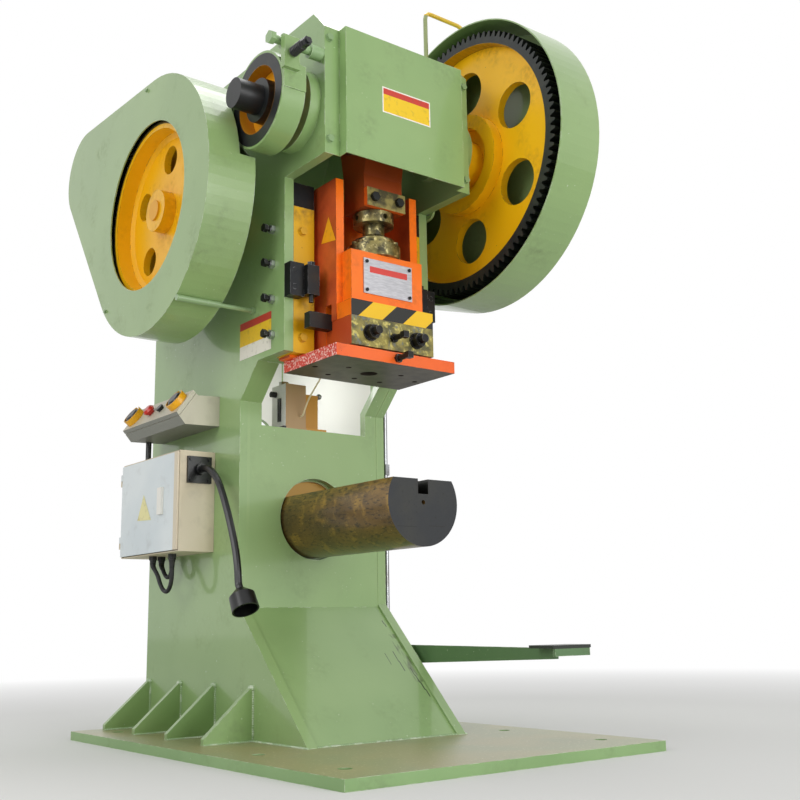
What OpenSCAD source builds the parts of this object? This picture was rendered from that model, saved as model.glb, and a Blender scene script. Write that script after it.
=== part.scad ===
// Mechanical stamping press: welded C-frame, geared crank drive, horn in place of a bed.
// X runs to the right, Y to the back and Z up. The origin is the centre of the base underside.

/* [Base] */
// Width of the base plate
base_w = 1000; // [940:10:1200]
// Depth of the base plate
base_d = 1470; // [1466:2:1700]
// Thickness of the base plate
base_t = 26; // [16:1:36]
// Diameter of the floor anchor holes
anchor_d = 34; // [20:1:45]
// Distance of the anchor holes from the side edges
anchor_inset = 95; // [60:5:110]
// Distance of the anchor holes from the front and back edges
anchor_end = 135; // [60:5:200]
// Thickness of the gussets
gusset_t = 16; // [10:1:24]
// Height of the gussets
gusset_h = 139; // [80:1:160]
// Reach of the gussets from the side plates
gusset_reach = 148; // [80:1:160]
// Spacing of the gussets
gusset_pitch = 216; // [180:1:218]

/* [Frame] */
// Width over the side plates
frame_w = 524; // [504:2:564]
// Thickness of the side plates
plate_t = 30; // [20:1:36]
// Thickness of the column front plate
column_t = 25; // [15:1:35]
// Thickness of the sloping foot plate and the head plates
sheet_t = 20; // [12:1:28]
// How far the side plates stand proud of the sloping plate
rim = 6; // [2:1:12]
// Front of the foot, on the base
foot_y = -230; // [-280:5:-180]
// Front of the column
column_y = 135; // [120:5:150]
// Back of the frame
back_y = 725; // [725:1:730]
// Height of the knee where the column leans forward
knee_z = 982; // [960:1:995]
// Height of the top of the throat
jaw_z = 1084; // [1078:1:1100]
// Back of the open jaw
jaw_y = 36; // [30:1:50]
// Front of the slide housing
slide_y = -108; // [-116:1:-104]
// Front of the head
head_y = -314; // [-330:1:-310]
// Underside of the head
nose_z = 1598; // [1596:1:1604]
// Top of the head
head_z = 2040; // [2030:5:2120]
// Height of the motor shelf
shelf_z = 1730; // [1720:1:1740]
// Overhang of the motor shelf behind the frame
shelf_overhang = 165; // [150:5:250]
// Half width of the throat window
window_x = 189; // [150:1:195]
// Sill of the throat window
window_z = 916; // [900:1:930]
// Corner radius of the throat window
window_r = 60; // [30:1:70]

/* [Horn] */
// Diameter of the horn
horn_d = 234; // [180:1:250]
// Height of the horn axis
horn_z = 645; // [600:5:660]
// Front end of the horn
horn_y = -387; // [-500:1:-300]
// Clearance round the horn where it passes the column plate
horn_gap = 5.5; // [3:0.5:8]
// Height of the flat above the horn axis
horn_flat = 62; // [50:1:80]
// Length of the horn inside its socket
horn_socket = 255; // [200:5:300]
// Width of the key slot in the horn end
key_w = 34; // [20:1:40]
// Wall of the horn socket
socket_wall = 33; // [20:1:40]

/* [Crank drive] */
// Crank axis, front to back
crank_y = -180; // [-182:1:-178]
// Crank axis, height
crank_z = 1768; // [1764:1:1772]
// Throw of the crank, half the stroke
throw = 44; // [20:1:44]
// Diameter of the crank journals
journal_d = 100; // [80:1:110]
// Diameter of the crank pin
pin_d = 96; // [80:1:104]
// Width of the connecting rod
rod_w = 138; // [100:2:144]
// Thickness of the crank cheeks
cheek_t = 36; // [25:1:40]
// Gear module
gear_m = 8; // [8:1:8]
// Teeth of the bull gear
gear_n = 104; // [98:1:106]
// Teeth of the pinion
pinion_n = 22; // [20:1:24]
// Face width of the gears
gear_w = 100; // [70:5:110]
// Distance of the gears from the side plate
gear_off = 83; // [75:1:90]
// Rearward distance of the pinion shaft from the crank
shaft_back = 465; // [455:1:470]
// Diameter of the pinion shaft
shaft_d = 70; // [50:1:80]

/* [Flywheel] */
// Diameter of the flywheel
fly_d = 540; // [480:5:560]
// Face width of the flywheel
fly_w = 120; // [100:1:126]
// Distance of the flywheel from the side plate
fly_off = 113; // [105:1:118]
// Diameter of the motor pulley
pulley_d = 150; // [120:5:180]
// Motor axis, front to back
motor_y = 793; // [790:1:800]
// Height of the motor axis above its shelf
motor_h = 132; // [125:1:140]
// Diameter of the motor body
motor_d = 250; // [200:5:256]
// Length of the motor body
motor_l = 330; // [300:5:360]
// Number of drive belts
belts = 4; // [2:1:4]

/* [Guards] */
// Sheet thickness of the guards
guard_t = 4; // [2:0.5:5]
// Radius of the belt guard round the flywheel
guard_r = 400; // [392:1:404]
// Radius of the belt guard round the motor pulley
guard_motor_r = 151; // [130:1:156]
// Height of the belt guard centre above the flywheel axis
guard_lift = 7; // [4:1:10]
// Depth of the belt guard
guard_w = 146; // [135:1:155]
// Distance of the belt guard face from the side plate
guard_off = 249; // [240:1:255]
// Radius of the round opening in the belt guard
guard_hole_r = 260; // [200:1:264]
// Gap between the gear guard and the gear teeth
gear_gap = 35; // [30:1:40]
// Width of the gear guard
gear_guard_w = 158; // [150:1:165]
// Width of the raised part of the crank cover
cover_w = 426; // [380:2:440]
// Height that the crank cover stands proud
cover_rise = 36; // [25:1:50]

/* [Brake] */
// Diameter of the brake drum
drum_d = 262; // [230:2:270]
// Width of the brake strap
strap_w = 71; // [50:1:75]
// Thickness of the brake strap with its lining
strap_t = 7; // [5:0.5:8]
// Distance of the brake drum from the side plate
drum_off = 63; // [60:1:66]

/* [Ram] */
// Distance of the ram from the inside of the side plates
ram_side = 85; // [82:1:88]
// Top of the ram
ram_top = 1592; // [1580:1:1594]
// Deck under the ball screw
deck_z = 1370; // [1360:1:1372]
// Underside of the ram
ram_z = 1075; // [1075:1:1077]
// Thickness of the ram plate
ram_plate_t = 34; // [20:1:40]
// Width of the ram plate
ram_plate_w = 416; // [400:2:440]
// Front of the ram plate
ram_plate_y = -287; // [-300:1:-280]
// Diameter of the shank bore
shank_d = 50; // [30:1:56]
// Shank bore, front to back
shank_y = -148; // [-149:1:-146]
// Height of the shank clamp
clamp_h = 83; // [80:1:84]
// Front of the shank clamp
clamp_y = -269; // [-275:1:-262]
// Thickness of the gibs
gib_t = 30; // [20:1:35]
// Width of the gib face
gib_w = 70; // [50:1:72]
// Running clearance of the slide
slide_gap = 0.2; // [0.1:0.05:0.4]
// Travel of the knock-out bar
knock_travel = 30; // [15:1:30]

/* [Controls] */
// Depth of the electrical cabinet
cabinet_w = 121; // [100:1:150]
// Length of the electrical cabinet
cabinet_l = 403; // [350:1:420]
// Height of the electrical cabinet
cabinet_h = 298; // [250:1:310]
// Underside of the electrical cabinet
cabinet_z = 549; // [540:1:560]
// Front of the electrical cabinet
cabinet_y = 285; // [270:1:290]
// Sheet thickness of the cabinet
cabinet_t = 3; // [1.5:0.5:4]
// Thickness of the cabinet door
door_t = 6; // [5:1:10]
// Length of the control console
console_l = 385; // [340:5:420]
// Front of the control console
console_y = 262; // [250:1:280]
// Diameter of the palm buttons
palm_d = 56; // [40:1:60]
// Diameter of the emergency stop
stop_d = 40; // [30:1:44]
// Travel of the palm buttons
palm_travel = 6; // [3:0.5:7]
// Diameter of the conduit
conduit_d = 18; // [12:1:24]
// Diameter of the free cables
cable_d = 13; // [8:1:16]
// Diameter of the lamp head
lamp_d = 76; // [60:1:90]
// Pedal pivot, front to back
pedal_y = 260; // [240:1:270]
// Front end of the pedal bar
pedal_front = -560; // [-620:5:-500]
// Height of the pedal pivot
pedal_z = 239; // [230:1:250]
// Diameter of the pull rod
pull_d = 16; // [10:1:18]

/* [Hidden] */
$fn = 48;

green = "#8FAF7E";
guard_green = "#85A582";
yellow = "#F2B20A";
orange = "#FF7A12";
dark = "#1B1D1E";
steel = "#A9ABAC";
seat = 0.3;
fit = 0.05;

side_x = frame_w / 2;
inner_x = side_x - plate_t;
foot_z = base_t + column_y - foot_y;
face_y = column_y + 1;
chamfer = 56;
head_back = 380;
slope_back = 560;
shelf_under = shelf_z - sheet_t;
anchor_x = base_w / 2 - anchor_inset;
anchor_y = [-base_d / 2 + anchor_end, foot_y - 2, base_d / 2 - anchor_end];
gusset_y = [for (i = [0:3]) back_y - 26 - i * gusset_pitch];

gear_r = gear_n * gear_m / 2;
pinion_r = pinion_n * gear_m / 2;
centre_d = gear_r + pinion_r;
shaft_y = crank_y + shaft_back;
shaft_z = crank_z - sqrt(centre_d * centre_d - shaft_back * shaft_back);
mesh_angle = atan2(shaft_z - crank_z, shaft_back);
gear_x = side_x + gear_off;
tooth_slack = 0.8;
web_x = gear_x + 40;
web_t = 25;
hub_x = side_x + 46;
rim_in_r = gear_r - 31;
boss_r = 76;
hub_r = 160;
web_hole_r = 72;
web_hole_at = 252;
pin_z = crank_z + throw;
cheek_x = rod_w / 2 + 0.5;
cheek_r = 75;
cheek_out = cheek_x + cheek_t;
housing_r = 118;
housing_in_r = 84;
housing_t = 34;
bush_wall = 12;
shaft_housing_r = 92;
shaft_housing_in = 60;
crank_left = -(side_x + 210);
crank_right = gear_x + gear_w + 22;
stub_d = 85;

fly_x1 = -(side_x + fly_off);
fly_x0 = fly_x1 - fly_w;
fly_rim = 22;
groove_pitch = 19;
groove_depth = 11;
groove_w = 15;
motor_z = shelf_z + motor_h;
guard_x0 = -(side_x + guard_off);
guard_x1 = guard_x0 + guard_w;
guard_c = [shaft_y - 4, shaft_z + guard_lift];
guard_hole = guard_c + [9, 3];
guard_motor = [motor_y, motor_z];
stay_d = 18;
stay_r = guard_r - guard_t - stay_d / 2 - seat;
outer_stay = -122.7;
inner_stays = [-43, 87];
motor_x = -side_x - 62;
motor_feet = [for (k = [0.47, 0.77]) motor_x + k * motor_l];
drum_guard_r = gear_r + gear_m + gear_gap;
drum_guard_x = side_x + 75;
lobe_r = pinion_r + gear_m + gear_gap + 6;
arch_back = 35;
arch_z = crank_z + drum_guard_r + 58;
foot_r = drum_guard_r - guard_t - stay_d / 2 - seat;
lobe_foot_r = lobe_r - guard_t - stay_d / 2 - seat;
guard_foot = [[crank_y + foot_r / 2, crank_z - foot_r * sqrt(3) / 2],
    [shaft_y + lobe_foot_r, shaft_z]];
brake_clear = drum_d / 2 + strap_t + 17;
drum_x1 = -(side_x + drum_off);
drum_x0 = drum_x1 - strap_w - 2;
strap_r = drum_d / 2 + seat;
lug_y = crank_y - strap_r - strap_t - 17;
lug_z = [crank_z + 35, crank_z + 128];
stud_y = head_y + 17;
stud_z = crank_z + 128;

gib_x = inner_x - seat - gib_w;
wing_x = inner_x - 7;
wing_y = [slide_y + gib_t + slide_gap, -20];
ram_w = 2 * (inner_x - ram_side);
column_in = ram_w / 2 - 27;
ram_front = -200;
ram_back = wing_y[1] - slide_gap;
block_front = -245;
band_z = ram_z + 10 + clamp_h;
band_h = 47;
split_y = shank_y - seat;
bar_y = [-175, -147];
bar_z = [ram_z + 68, ram_z + 113];
bar_x = 220;
slot_gap = 0.3;
plate_holes = [[-93, -180], [93, -180], [-93, -75], [93, -75], [178, -137], [-178, -137],
    [0, -75]];
plate_hole_d = 17;
stud_x = 81;
stud_at = band_z - 44;
rod_y = [crank_y - 50, crank_y + 50];
rod_bottom = deck_z + 144;
big_end_r = pin_d / 2 + 38;
screw_d = 64;
collar_d = 120;
ball_r = 43;
ball_z = deck_z + 48;
retainer_r = 78;
retainer_h = 60;

cab_x0 = -side_x - cabinet_w;
door_x = cab_x0 + door_t;
hinge_at = [cab_x0 + 5, cabinet_y + cabinet_l + 6];
hinge_z = [cabinet_z + 30, cabinet_z + 230];
cabinet_top = cabinet_z + cabinet_h;
cable_x = -side_x - 58;
near_x = -side_x - 38;
far_x = -side_x - 74;
console_profile = [
    [-89, 1027], [-73, 1012], [0, 1016], [0, 924], [-113, 921], [-142, 955]
];
panel_low = [-side_x + console_profile[5][0], console_profile[5][1]];
panel_high = [-side_x + console_profile[0][0], console_profile[0][1]];
panel_mid = (panel_low + panel_high) / 2;
panel_tilt = atan2(panel_high[1] - panel_low[1], panel_high[0] - panel_low[0]);
panel_l = norm(panel_high - panel_low);
palm_y = [console_y + 42, console_y + console_l - 42];
stop_y = console_y + 228;
start_y = console_y + 160;
conduit_y = console_y + console_l - 15;
lamp_x = -side_x - 54;
lamp_z = cabinet_top - 58;
lamp_at = [5, 393];
lamp_tilt = 30;
lamp_axis = [sin(lamp_tilt), cos(lamp_tilt)];
lamp_root = [cabinet_y - 22 - seat, lamp_z + 2];
lamp_route = [lamp_root, lamp_root - [8, 0], [240, 789], [214, 782], [180, 760], [148, 724],
    [105, 651], [63, 561], [44, 500], lamp_at + 62 * lamp_axis, lamp_at + 52 * lamp_axis,
    lamp_at + (42 + seat) * lamp_axis];
glands = [[near_x, 482], [near_x, 556], [far_x, 407], [far_x, 540]];
near_loop = [[482, 530.6], [482, 518], [485, 500], [495, 488], [511, 484], [528, 492],
    [545, 510], [555, 522], [556, 530.6]];
far_loop = [[407, 530.6], [407, 518], [406, 492], [411, 464], [424, 445], [442, 438],
    [465, 445], [486, 464], [504, 488], [526, 507], [539, 519], [540, 530.6]];
pull_x = side_x + 20;
pull_y = pedal_y - 105;
pedal_x = pull_x + 16;
trip_y = -115;
trip_z = 1605;
trip_x = side_x + 2.3;
trip_t = 8;
trip_drop = 40;
pivot_r = 14;
trip_pivot_r = 10;
link_pin_r = 6;
pedal_gap = 0.8;
trip_gap = 2.5;

// A straight block between two opposite corners.
module block(a, b) {
    translate(a) cube(b - a);
}

// A flat shape drawn in Y and Z, given a thickness along X.
module along_x(x0, length) {
    translate([x0, 0, 0]) rotate([90, 0, 90]) linear_extrude(length) children();
}

// A flat shape drawn in X and Z, given a thickness along Y.
module along_y(y0, length) {
    translate([0, y0 + length, 0]) rotate([90, 0, 0]) linear_extrude(length) children();
}

// Round bars and bores along X, Y and Z.
module bar_x(x0, x1, r, y, z) {
    translate([x0, y, z]) rotate([0, 90, 0]) cylinder(r = r, h = x1 - x0);
}
module bar_y(y0, y1, r, x, z) {
    translate([x, y0, z]) rotate([-90, 0, 0]) cylinder(r = r, h = y1 - y0);
}
module bar_z(z0, z1, r, x, y) {
    translate([x, y, z0]) cylinder(r = r, h = z1 - z0);
}

// Outline round two circles and their outer tangents, as one run of points.
function arc(c, r, from, to, step) =
    let (n = ceil((to - from) / step))
    [for (i = [0:n]) c + polar(r, from + (to - from) * i / n)];
module wrap(c1, r1, c2, r2, step = 4) {
    a = atan2(c2[1] - c1[1], c2[0] - c1[0]);
    b = acos((r1 - r2) / norm(c2 - c1));
    polygon(concat(arc(c1, r1, a + b, a + 360 - b, step), arc(c2, r2, a - b, a + b, step)));
}

// Two circles joined by their outer tangents, with true arcs.
module two_circles(c1, r1, c2, r2) {
    a = atan2(c2[1] - c1[1], c2[0] - c1[0]);
    b = acos((r1 - r2) / norm(c2 - c1));
    translate(c1) circle(r1, $fn = 96);
    translate(c2) circle(r2, $fn = 96);
    polygon([
        for (s = [[c1, r1, 1], [c2, r2, 1], [c2, r2, -1], [c1, r1, -1]])
            s[0] + s[1] * [cos(a + s[2] * b), sin(a + s[2] * b)]
    ]);
}

// Hexagon head bolt: the head stands on z = 0, the shank goes down.
module hex_bolt(d, shank) {
    cylinder(d = 2 * d, h = 0.15 * d);
    cylinder(d = 1.75 * d, h = 0.8 * d, $fn = 6);
    translate([0, 0, -shank]) cylinder(d = d, h = shank + 1);
}
module bolt_front(x, y, z, d, shank) {
    translate([x, y, z]) rotate([90, 0, 0]) hex_bolt(d, shank);
}
module bolt_side(x, y, z, d, shank) {
    translate([x, y, z]) rotate([0, x < 0 ? -90 : 90, 0]) hex_bolt(d, shank);
}

// Gear outline with involute flanks, the first tooth at the angle phase.
function involute(base, r) = tan(acos(base / r)) * 180 / PI - acos(base / r);
function polar(r, a) = [r * cos(a), r * sin(a)];
function gear_points(n, phase) =
    let (
        r = n * gear_m / 2,
        base = r * cos(20),
        root = r - 1.25 * gear_m,
        tip = r + gear_m,
        start = max(root, base + 0.01),
        flank = [for (k = [0:3]) start + (tip - start) * k / 3],
        radii = root < start ? concat([root], flank) : flank,
        half = 90 / n - tooth_slack / r * 45 / PI + involute(base, r),
        spread = [for (q = radii) half - involute(base, max(q, start))]
    )
    [
        for (i = [0:n - 1])
            for (j = [0:2 * len(radii) - 1])
                let (up = j < len(radii), k = up ? j : 2 * len(radii) - 1 - j)
                polar(radii[k], phase + i * 360 / n + (up ? -1 : 1) * spread[k])
    ];

// A round bar bent along a flat route, as rings joined into one closed skin.
function unit(v) = v / norm(v);
function heading(p, i) =
    unit(p[min(i + 1, len(p) - 1)] - p[max(i - 1, 0)]);
function ring(p, i, r, n) =
    let (t = heading(p, i))
    [for (k = [0:n - 1])
        let (c = r * cos(360 * k / n), s = r * sin(360 * k / n))
        [p[i][0] - t[1] * c, p[i][1] + t[0] * c, s]];
module bent_bar(p, r, n = 8) {
    last = (len(p) - 1) * n;
    polyhedron(
        points = [for (i = [0:len(p) - 1]) each ring(p, i, r, n)],
        faces = concat(
            [[for (k = [0:n - 1]) k]],
            [[for (k = [0:n - 1]) last + n - 1 - k]],
            [for (i = [0:len(p) - 2]) for (k = [0:n - 1])
                [i * n + k, (i + 1) * n + k, (i + 1) * n + (k + 1) % n, i * n + (k + 1) % n]]
        )
    );
}
module bent_in_yz(p, r, x, n = 8) {
    translate([x, 0, 0]) rotate([90, 0, 90]) bent_bar(p, r, n);
}

// Smooth curve through hand-set points, three pieces to each stretch.
function curve_at(a, b, c, d, t) =
    0.5 * (2 * b + (c - a) * t + (2 * a - 5 * b + 4 * c - d) * t * t
        + (3 * b - a - 3 * c + d) * t * t * t);
function smooth(p) = concat([
    for (i = [0:len(p) - 2])
        for (k = [0:2])
            curve_at(p[max(i - 1, 0)], p[i], p[i + 1], p[min(i + 2, len(p) - 1)], k / 3)
], [p[len(p) - 1]]);

module base_plate() {
    color(green) difference() {
        block([-base_w / 2, -base_d / 2, 0], [base_w / 2, base_d / 2, base_t]);
        for (x = [-anchor_x, anchor_x], y = anchor_y)
            bar_z(-1, base_t + 1, anchor_d / 2, x, y);
    }
}

// Outline of a side plate: sloping foot, column, open jaw, nose, head and motor shelf.
module side_outline() {
    polygon([
        [foot_y, base_t], [column_y, foot_z], [column_y, knee_z], [jaw_y, jaw_z],
        [slide_y, jaw_z], [slide_y, nose_z], [head_y, nose_z],
        [head_y, head_z - chamfer - 4], [head_y + chamfer - 4, head_z],
        [head_back, head_z], [slope_back, shelf_under], [back_y, shelf_under],
        [back_y, base_t]
    ]);
}

adjuster_z = [for (i = [0:3]) nose_z - 142 - 105 * i];
adjuster_y = slide_y + 62;
cover_bolt_z = [nose_z + 42, nose_z + 347];

module side_plate(s) {
    color(green) difference() {
        along_x(s < 0 ? -side_x : inner_x, plate_t) side_outline();
        bar_x(-side_x * 2, side_x * 2, housing_in_r + fit, crank_y, crank_z);
        bar_x(-side_x * 2, side_x * 2, shaft_housing_in + fit, shaft_y, shaft_z);
        for (z = adjuster_z)
            bar_x(-side_x * 2, side_x * 2, 8.3, adjuster_y, z);
        for (z = cover_bolt_z)
            bar_y(head_y - 1, head_y + 31, 6.3, s * (side_x - 15), z);
    }
}
module left_side_plate() {
    side_plate(-1);
}
module right_side_plate() {
    side_plate(1);
}

module window_outline(top, r) {
    translate([-window_x, window_z]) square([2 * window_x, top - r - window_z]);
    translate([-window_x + r, window_z]) square([2 * (window_x - r), top - window_z]);
    for (s = [-1, 1])
        translate([s * (window_x - r), top - r]) circle(r);
}

module column_plate() {
    back = face_y + column_t;
    lean = jaw_y + face_y - column_y;
    color(green) difference() {
        union() {
            along_x(-inner_x, 2 * inner_x) polygon([
                [face_y, foot_z - 20], [face_y, knee_z], [lean, jaw_z],
                [lean + 1.4 * column_t, jaw_z], [back, knee_z + 0.4 * column_t],
                [back, foot_z - 20]
            ]);
            bar_y(back - 1, back + horn_socket, horn_d / 2 + socket_wall, 0, horn_z);
        }
        bar_y(face_y - 1, back + 1, horn_d / 2 + horn_gap, 0, horn_z);
        bar_y(face_y - 1, back + horn_socket + 1, horn_d / 2 + seat, 0, horn_z);
        along_y(jaw_y - 10, 300) window_outline(jaw_z + 16, 12);
    }
}

module slope_plate() {
    skew = rim * 1.414;
    down = sheet_t * 1.414;
    top = foot_z + face_y - column_y - skew;
    color(green)
        along_x(-inner_x, 2 * inner_x) polygon([
            [foot_y + skew, base_t], [face_y, top], [face_y, top - down],
            [foot_y + skew + down, base_t]
        ]);
}

module rear_plate() {
    color(green) difference() {
        block([-inner_x, back_y - sheet_t, base_t], [inner_x, back_y, shelf_under]);
        along_y(back_y - sheet_t - 1, sheet_t + 2) window_outline(jaw_z - 24, window_r);
    }
}

// Top of the head, its sloping back and the shelf that carries the motor.
module head_plate() {
    deep = 1.5 * sheet_t;
    color(green) difference() {
        union() {
            along_x(-inner_x, 2 * inner_x) polygon([
                [head_y, head_z - chamfer - 4], [head_y + chamfer - 4, head_z],
                [head_back, head_z], [slope_back, shelf_under],
                [slope_back - deep, shelf_under], [head_back - deep / 2, head_z - sheet_t],
                [head_y + chamfer + 6, head_z - sheet_t],
                [head_y + sheet_t, head_z - chamfer - 4]
            ]);
            block([-inner_x, slope_back - 20, shelf_under],
                [inner_x, slope_back + 1, shelf_z]);
            block([-side_x, slope_back, shelf_under],
                [side_x, back_y + shelf_overhang, shelf_z]);
        }
        for (x = motor_feet, y = [-0.34, 0.34])
            bar_z(shelf_under - 1, shelf_z + 1, 8.3, x, motor_y + y * motor_d);
    }
}

// Plate behind the ram, with the two rails that its wings bear on.
module slide_bed() {
    color(green) {
        block([-inner_x, 8, jaw_z], [inner_x, jaw_y, nose_z]);
        for (s = [-1, 1])
            block([s < 0 ? -inner_x : 150, wing_y[1], jaw_z],
                [s < 0 ? -150 : inner_x, 9, nose_z]);
    }
}

module gussets() {
    color(green)
        for (s = [-1, 1], y = gusset_y)
            along_y(y - gusset_t / 2, gusset_t) polygon([
                [s * side_x, base_t], [s * (side_x + gusset_reach), base_t],
                [s * (side_x + gusset_reach), base_t + 16],
                [s * (side_x + 10), base_t + gusset_h], [s * side_x, base_t + gusset_h]
            ]);
}

module horn() {
    back = face_y + column_t + horn_socket - 20;
    color("#6E5428") difference() {
        bar_y(horn_y, back, horn_d / 2, 0, horn_z);
        block([-horn_d, horn_y - 1, horn_z + horn_flat],
            [horn_d, face_y + column_t + 10, horn_z + horn_d]);
        block([-key_w / 2, horn_y - 1, horn_z + horn_flat - 40],
            [key_w / 2, horn_y + 90, horn_z + horn_d]);
        bar_y(horn_y - 1, horn_y + 14, 6, 0, horn_z);
    }
}

// Flanged housings of the crank and of the pinion shaft, one on each side plate.
module housing(s, y, z, r, barrel, shaft, flange) {
    difference() {
        union() {
            bar_x(s < 0 ? -side_x - flange : side_x, s < 0 ? -side_x : side_x + flange, r, y, z);
            bar_x(s < 0 ? -side_x - 1 : inner_x - 22, s < 0 ? 22 - inner_x : side_x + 1,
                barrel, y, z);
        }
        bar_x(-side_x * 2, side_x * 2, shaft / 2 + bush_wall + fit, y, z);
    }
}
module bearing_housings() {
    color(green)
        for (s = [-1, 1]) {
            housing(s, crank_y, crank_z, housing_r, housing_in_r, journal_d, housing_t);
            housing(s, shaft_y, shaft_z, shaft_housing_r, shaft_housing_in, shaft_d, 28);
        }
}
module bush(s, y, z, shaft, flange) {
    difference() {
        bar_x(s < 0 ? -side_x - flange : inner_x - 22, s < 0 ? 22 - inner_x : side_x + flange,
            shaft / 2 + bush_wall, y, z);
        bar_x(-side_x * 2, side_x * 2, shaft / 2 + fit, y, z);
    }
}
module bearing_bushes() {
    color("#B98A3C")
        for (s = [-1, 1]) {
            bush(s, crank_y, crank_z, journal_d, housing_t);
            bush(s, shaft_y, shaft_z, shaft_d, 28);
        }
}

// Folded sheet in front of the crank: flanges, returns and a raised face.
module crank_cover() {
    t = 3;
    w = cover_w / 2;
    top = head_z - 62;
    color(green) difference() {
        union() {
            translate([0, 0, nose_z]) linear_extrude(top - nose_z) difference() {
                union() {
                    translate([-side_x, head_y - t]) square([frame_w, t]);
                    translate([-w, head_y - cover_rise]) square([2 * w, cover_rise]);
                }
                translate([-w + t, head_y - cover_rise + t])
                    square([2 * (w - t), cover_rise + t]);
            }
            block([-w, head_y - cover_rise, top - t], [w, head_y, top]);
        }
        for (s = [-1, 1], z = cover_bolt_z)
            bar_y(head_y - t - 1, head_y + 1, 6.3, s * (side_x - 15), z);
    }
}

module adjuster(s, z) {
    translate([s * (side_x + seat), adjuster_y, z]) rotate([0, s * 90, 0]) {
        cylinder(d = 28, h = 12, $fn = 6);
        translate([0, 0, 2 - plate_t]) cylinder(d = 16, h = plate_t + 22);
        translate([0, 0, 23]) cylinder(d = 26, h = 11, $fn = 6);
    }
}
module frame_bolts() {
    color(dark) {
        for (s = [-1, 1], z = cover_bolt_z)
            bolt_front(s * (side_x - 15), head_y - 3 - seat, z, 12, 30);
        for (s = [-1, 1], z = [jaw_z + 43, nose_z - 154])
            bolt_front(s * (gib_x + 41), slide_y - seat, z, 14, 18);
        for (s = [-1, 1], z = adjuster_z)
            adjuster(s, z);
    }
}

// Gibs: a face strip in front of each wing and a side leg beside it.
module gibs() {
    color("#D6AA14")
        for (s = [-1, 1]) difference() {
            translate([0, 0, jaw_z - 2]) linear_extrude(nose_z - jaw_z - 78) polygon([
                [s * gib_x, slide_y], [s * (inner_x - seat), slide_y],
                [s * (inner_x - seat), wing_y[1] - 1], [s * (wing_x + slide_gap), wing_y[1] - 1],
                [s * (wing_x + slide_gap), slide_y + gib_t], [s * gib_x, slide_y + gib_t]
            ]);
            for (z = [jaw_z + 43, nose_z - 154])
                bar_y(slide_y - 1, slide_y + 19, 7.3, s * (gib_x + 41), z);
        }
}
module gib_caps() {
    color(dark)
        for (s = [-1, 1])
            block([s < 0 ? seat - inner_x : gib_x, slide_y, nose_z - 79.7],
                [s < 0 ? -gib_x : inner_x - seat, slide_y + gib_t, nose_z - 8]);
}

// Sheet guard over the flywheel and the motor pulley, open towards the frame.
module belt_guard() {
    t = guard_t;
    color(green) difference() {
        along_x(guard_x0, guard_w)
            wrap(guard_c, guard_r, guard_motor, guard_motor_r);
        along_x(guard_x0 + t, guard_w - 2 * t)
            wrap(guard_c, guard_r - t, guard_motor, guard_motor_r - t);
        bar_x(guard_x0 - 1, guard_x0 + t + 1, guard_hole_r, guard_hole[0], guard_hole[1],
            $fn = 96);
        bar_x(guard_x1 - t - 1, guard_x1 + 1, shaft_housing_r + 8, shaft_y, shaft_z);
        bar_x(guard_x1 - t - 1, guard_x1 + 1, pulley_d * 0.4, motor_y, motor_z);
        bar_x(drum_x0 - 16, guard_x1 + 1, brake_clear, crank_y, crank_z);
        for (a = inner_stays) {
            y = guard_c[0] + stay_r * cos(a);
            z = guard_c[1] + stay_r * sin(a);
            bar_x(guard_x0 - 1, guard_x0 + t + 1, 6.3, y, z);
            bar_x(guard_x1 - t - 1, guard_x1 + 1, 6.8, y, z);
        }
    }
}

// Round stays that carry both guards, and the bent bar over the gear guard.
module one_stay(x0, x1, y, z) {
    bar_x(x0, x1, stay_d / 2, y, z);
    bar_x(x1 - 1, -side_x - seat, 6.5, y, z);
    translate([-side_x - seat - 10, y, z]) rotate([0, 90, 0]) cylinder(d = 22, h = 10, $fn = 6);
}
module guard_stays() {
    far = drum_guard_x + gear_guard_w - guard_t - seat;
    top = crank_z + sqrt(drum_guard_r * drum_guard_r - arch_back * arch_back);
    color(green) {
        for (a = inner_stays) {
            y = guard_c[0] + stay_r * cos(a);
            z = guard_c[1] + stay_r * sin(a);
            one_stay(guard_x0 + guard_t + seat, guard_x1 - guard_t - seat, y, z);
            bar_x(guard_x0 - 7, guard_x0 + guard_t + 1, 5.5, y, z);
        }
        one_stay(guard_x0, guard_x1 - 10, guard_c[0] + (guard_r + stay_d / 2 + seat)
            * cos(outer_stay), guard_c[1] + (guard_r + stay_d / 2 + seat) * sin(outer_stay));
        for (p = guard_foot)
            bar_x(side_x + seat, far, stay_d / 2, p[0], p[1]);
        translate([0, crank_y + arch_back, 0]) rotate([90, 0, 0]) bent_bar([
            [side_x - 15, head_z + seat], [side_x - 15, arch_z - 24], [side_x - 12, arch_z - 10],
            [side_x - 4, arch_z - 2], [side_x + 9, arch_z], [drum_guard_x + 49, arch_z],
            [drum_guard_x + 62, arch_z - 3], [drum_guard_x + 69, arch_z - 12],
            [drum_guard_x + 71, arch_z - 26], [drum_guard_x + 71, top + seat]
        ], 7);
    }
}

// Drum guard over the bull gear, with a lobe over the pinion, open towards the frame.
module gear_guard() {
    t = guard_t;
    c = [crank_y, crank_z];
    p = [shaft_y, shaft_z];
    color(guard_green) difference() {
        along_x(drum_guard_x, gear_guard_w) wrap(c, drum_guard_r, p, lobe_r);
        along_x(drum_guard_x - t, gear_guard_w)
            wrap(c, drum_guard_r - t, p, lobe_r - t);
    }
}

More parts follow.
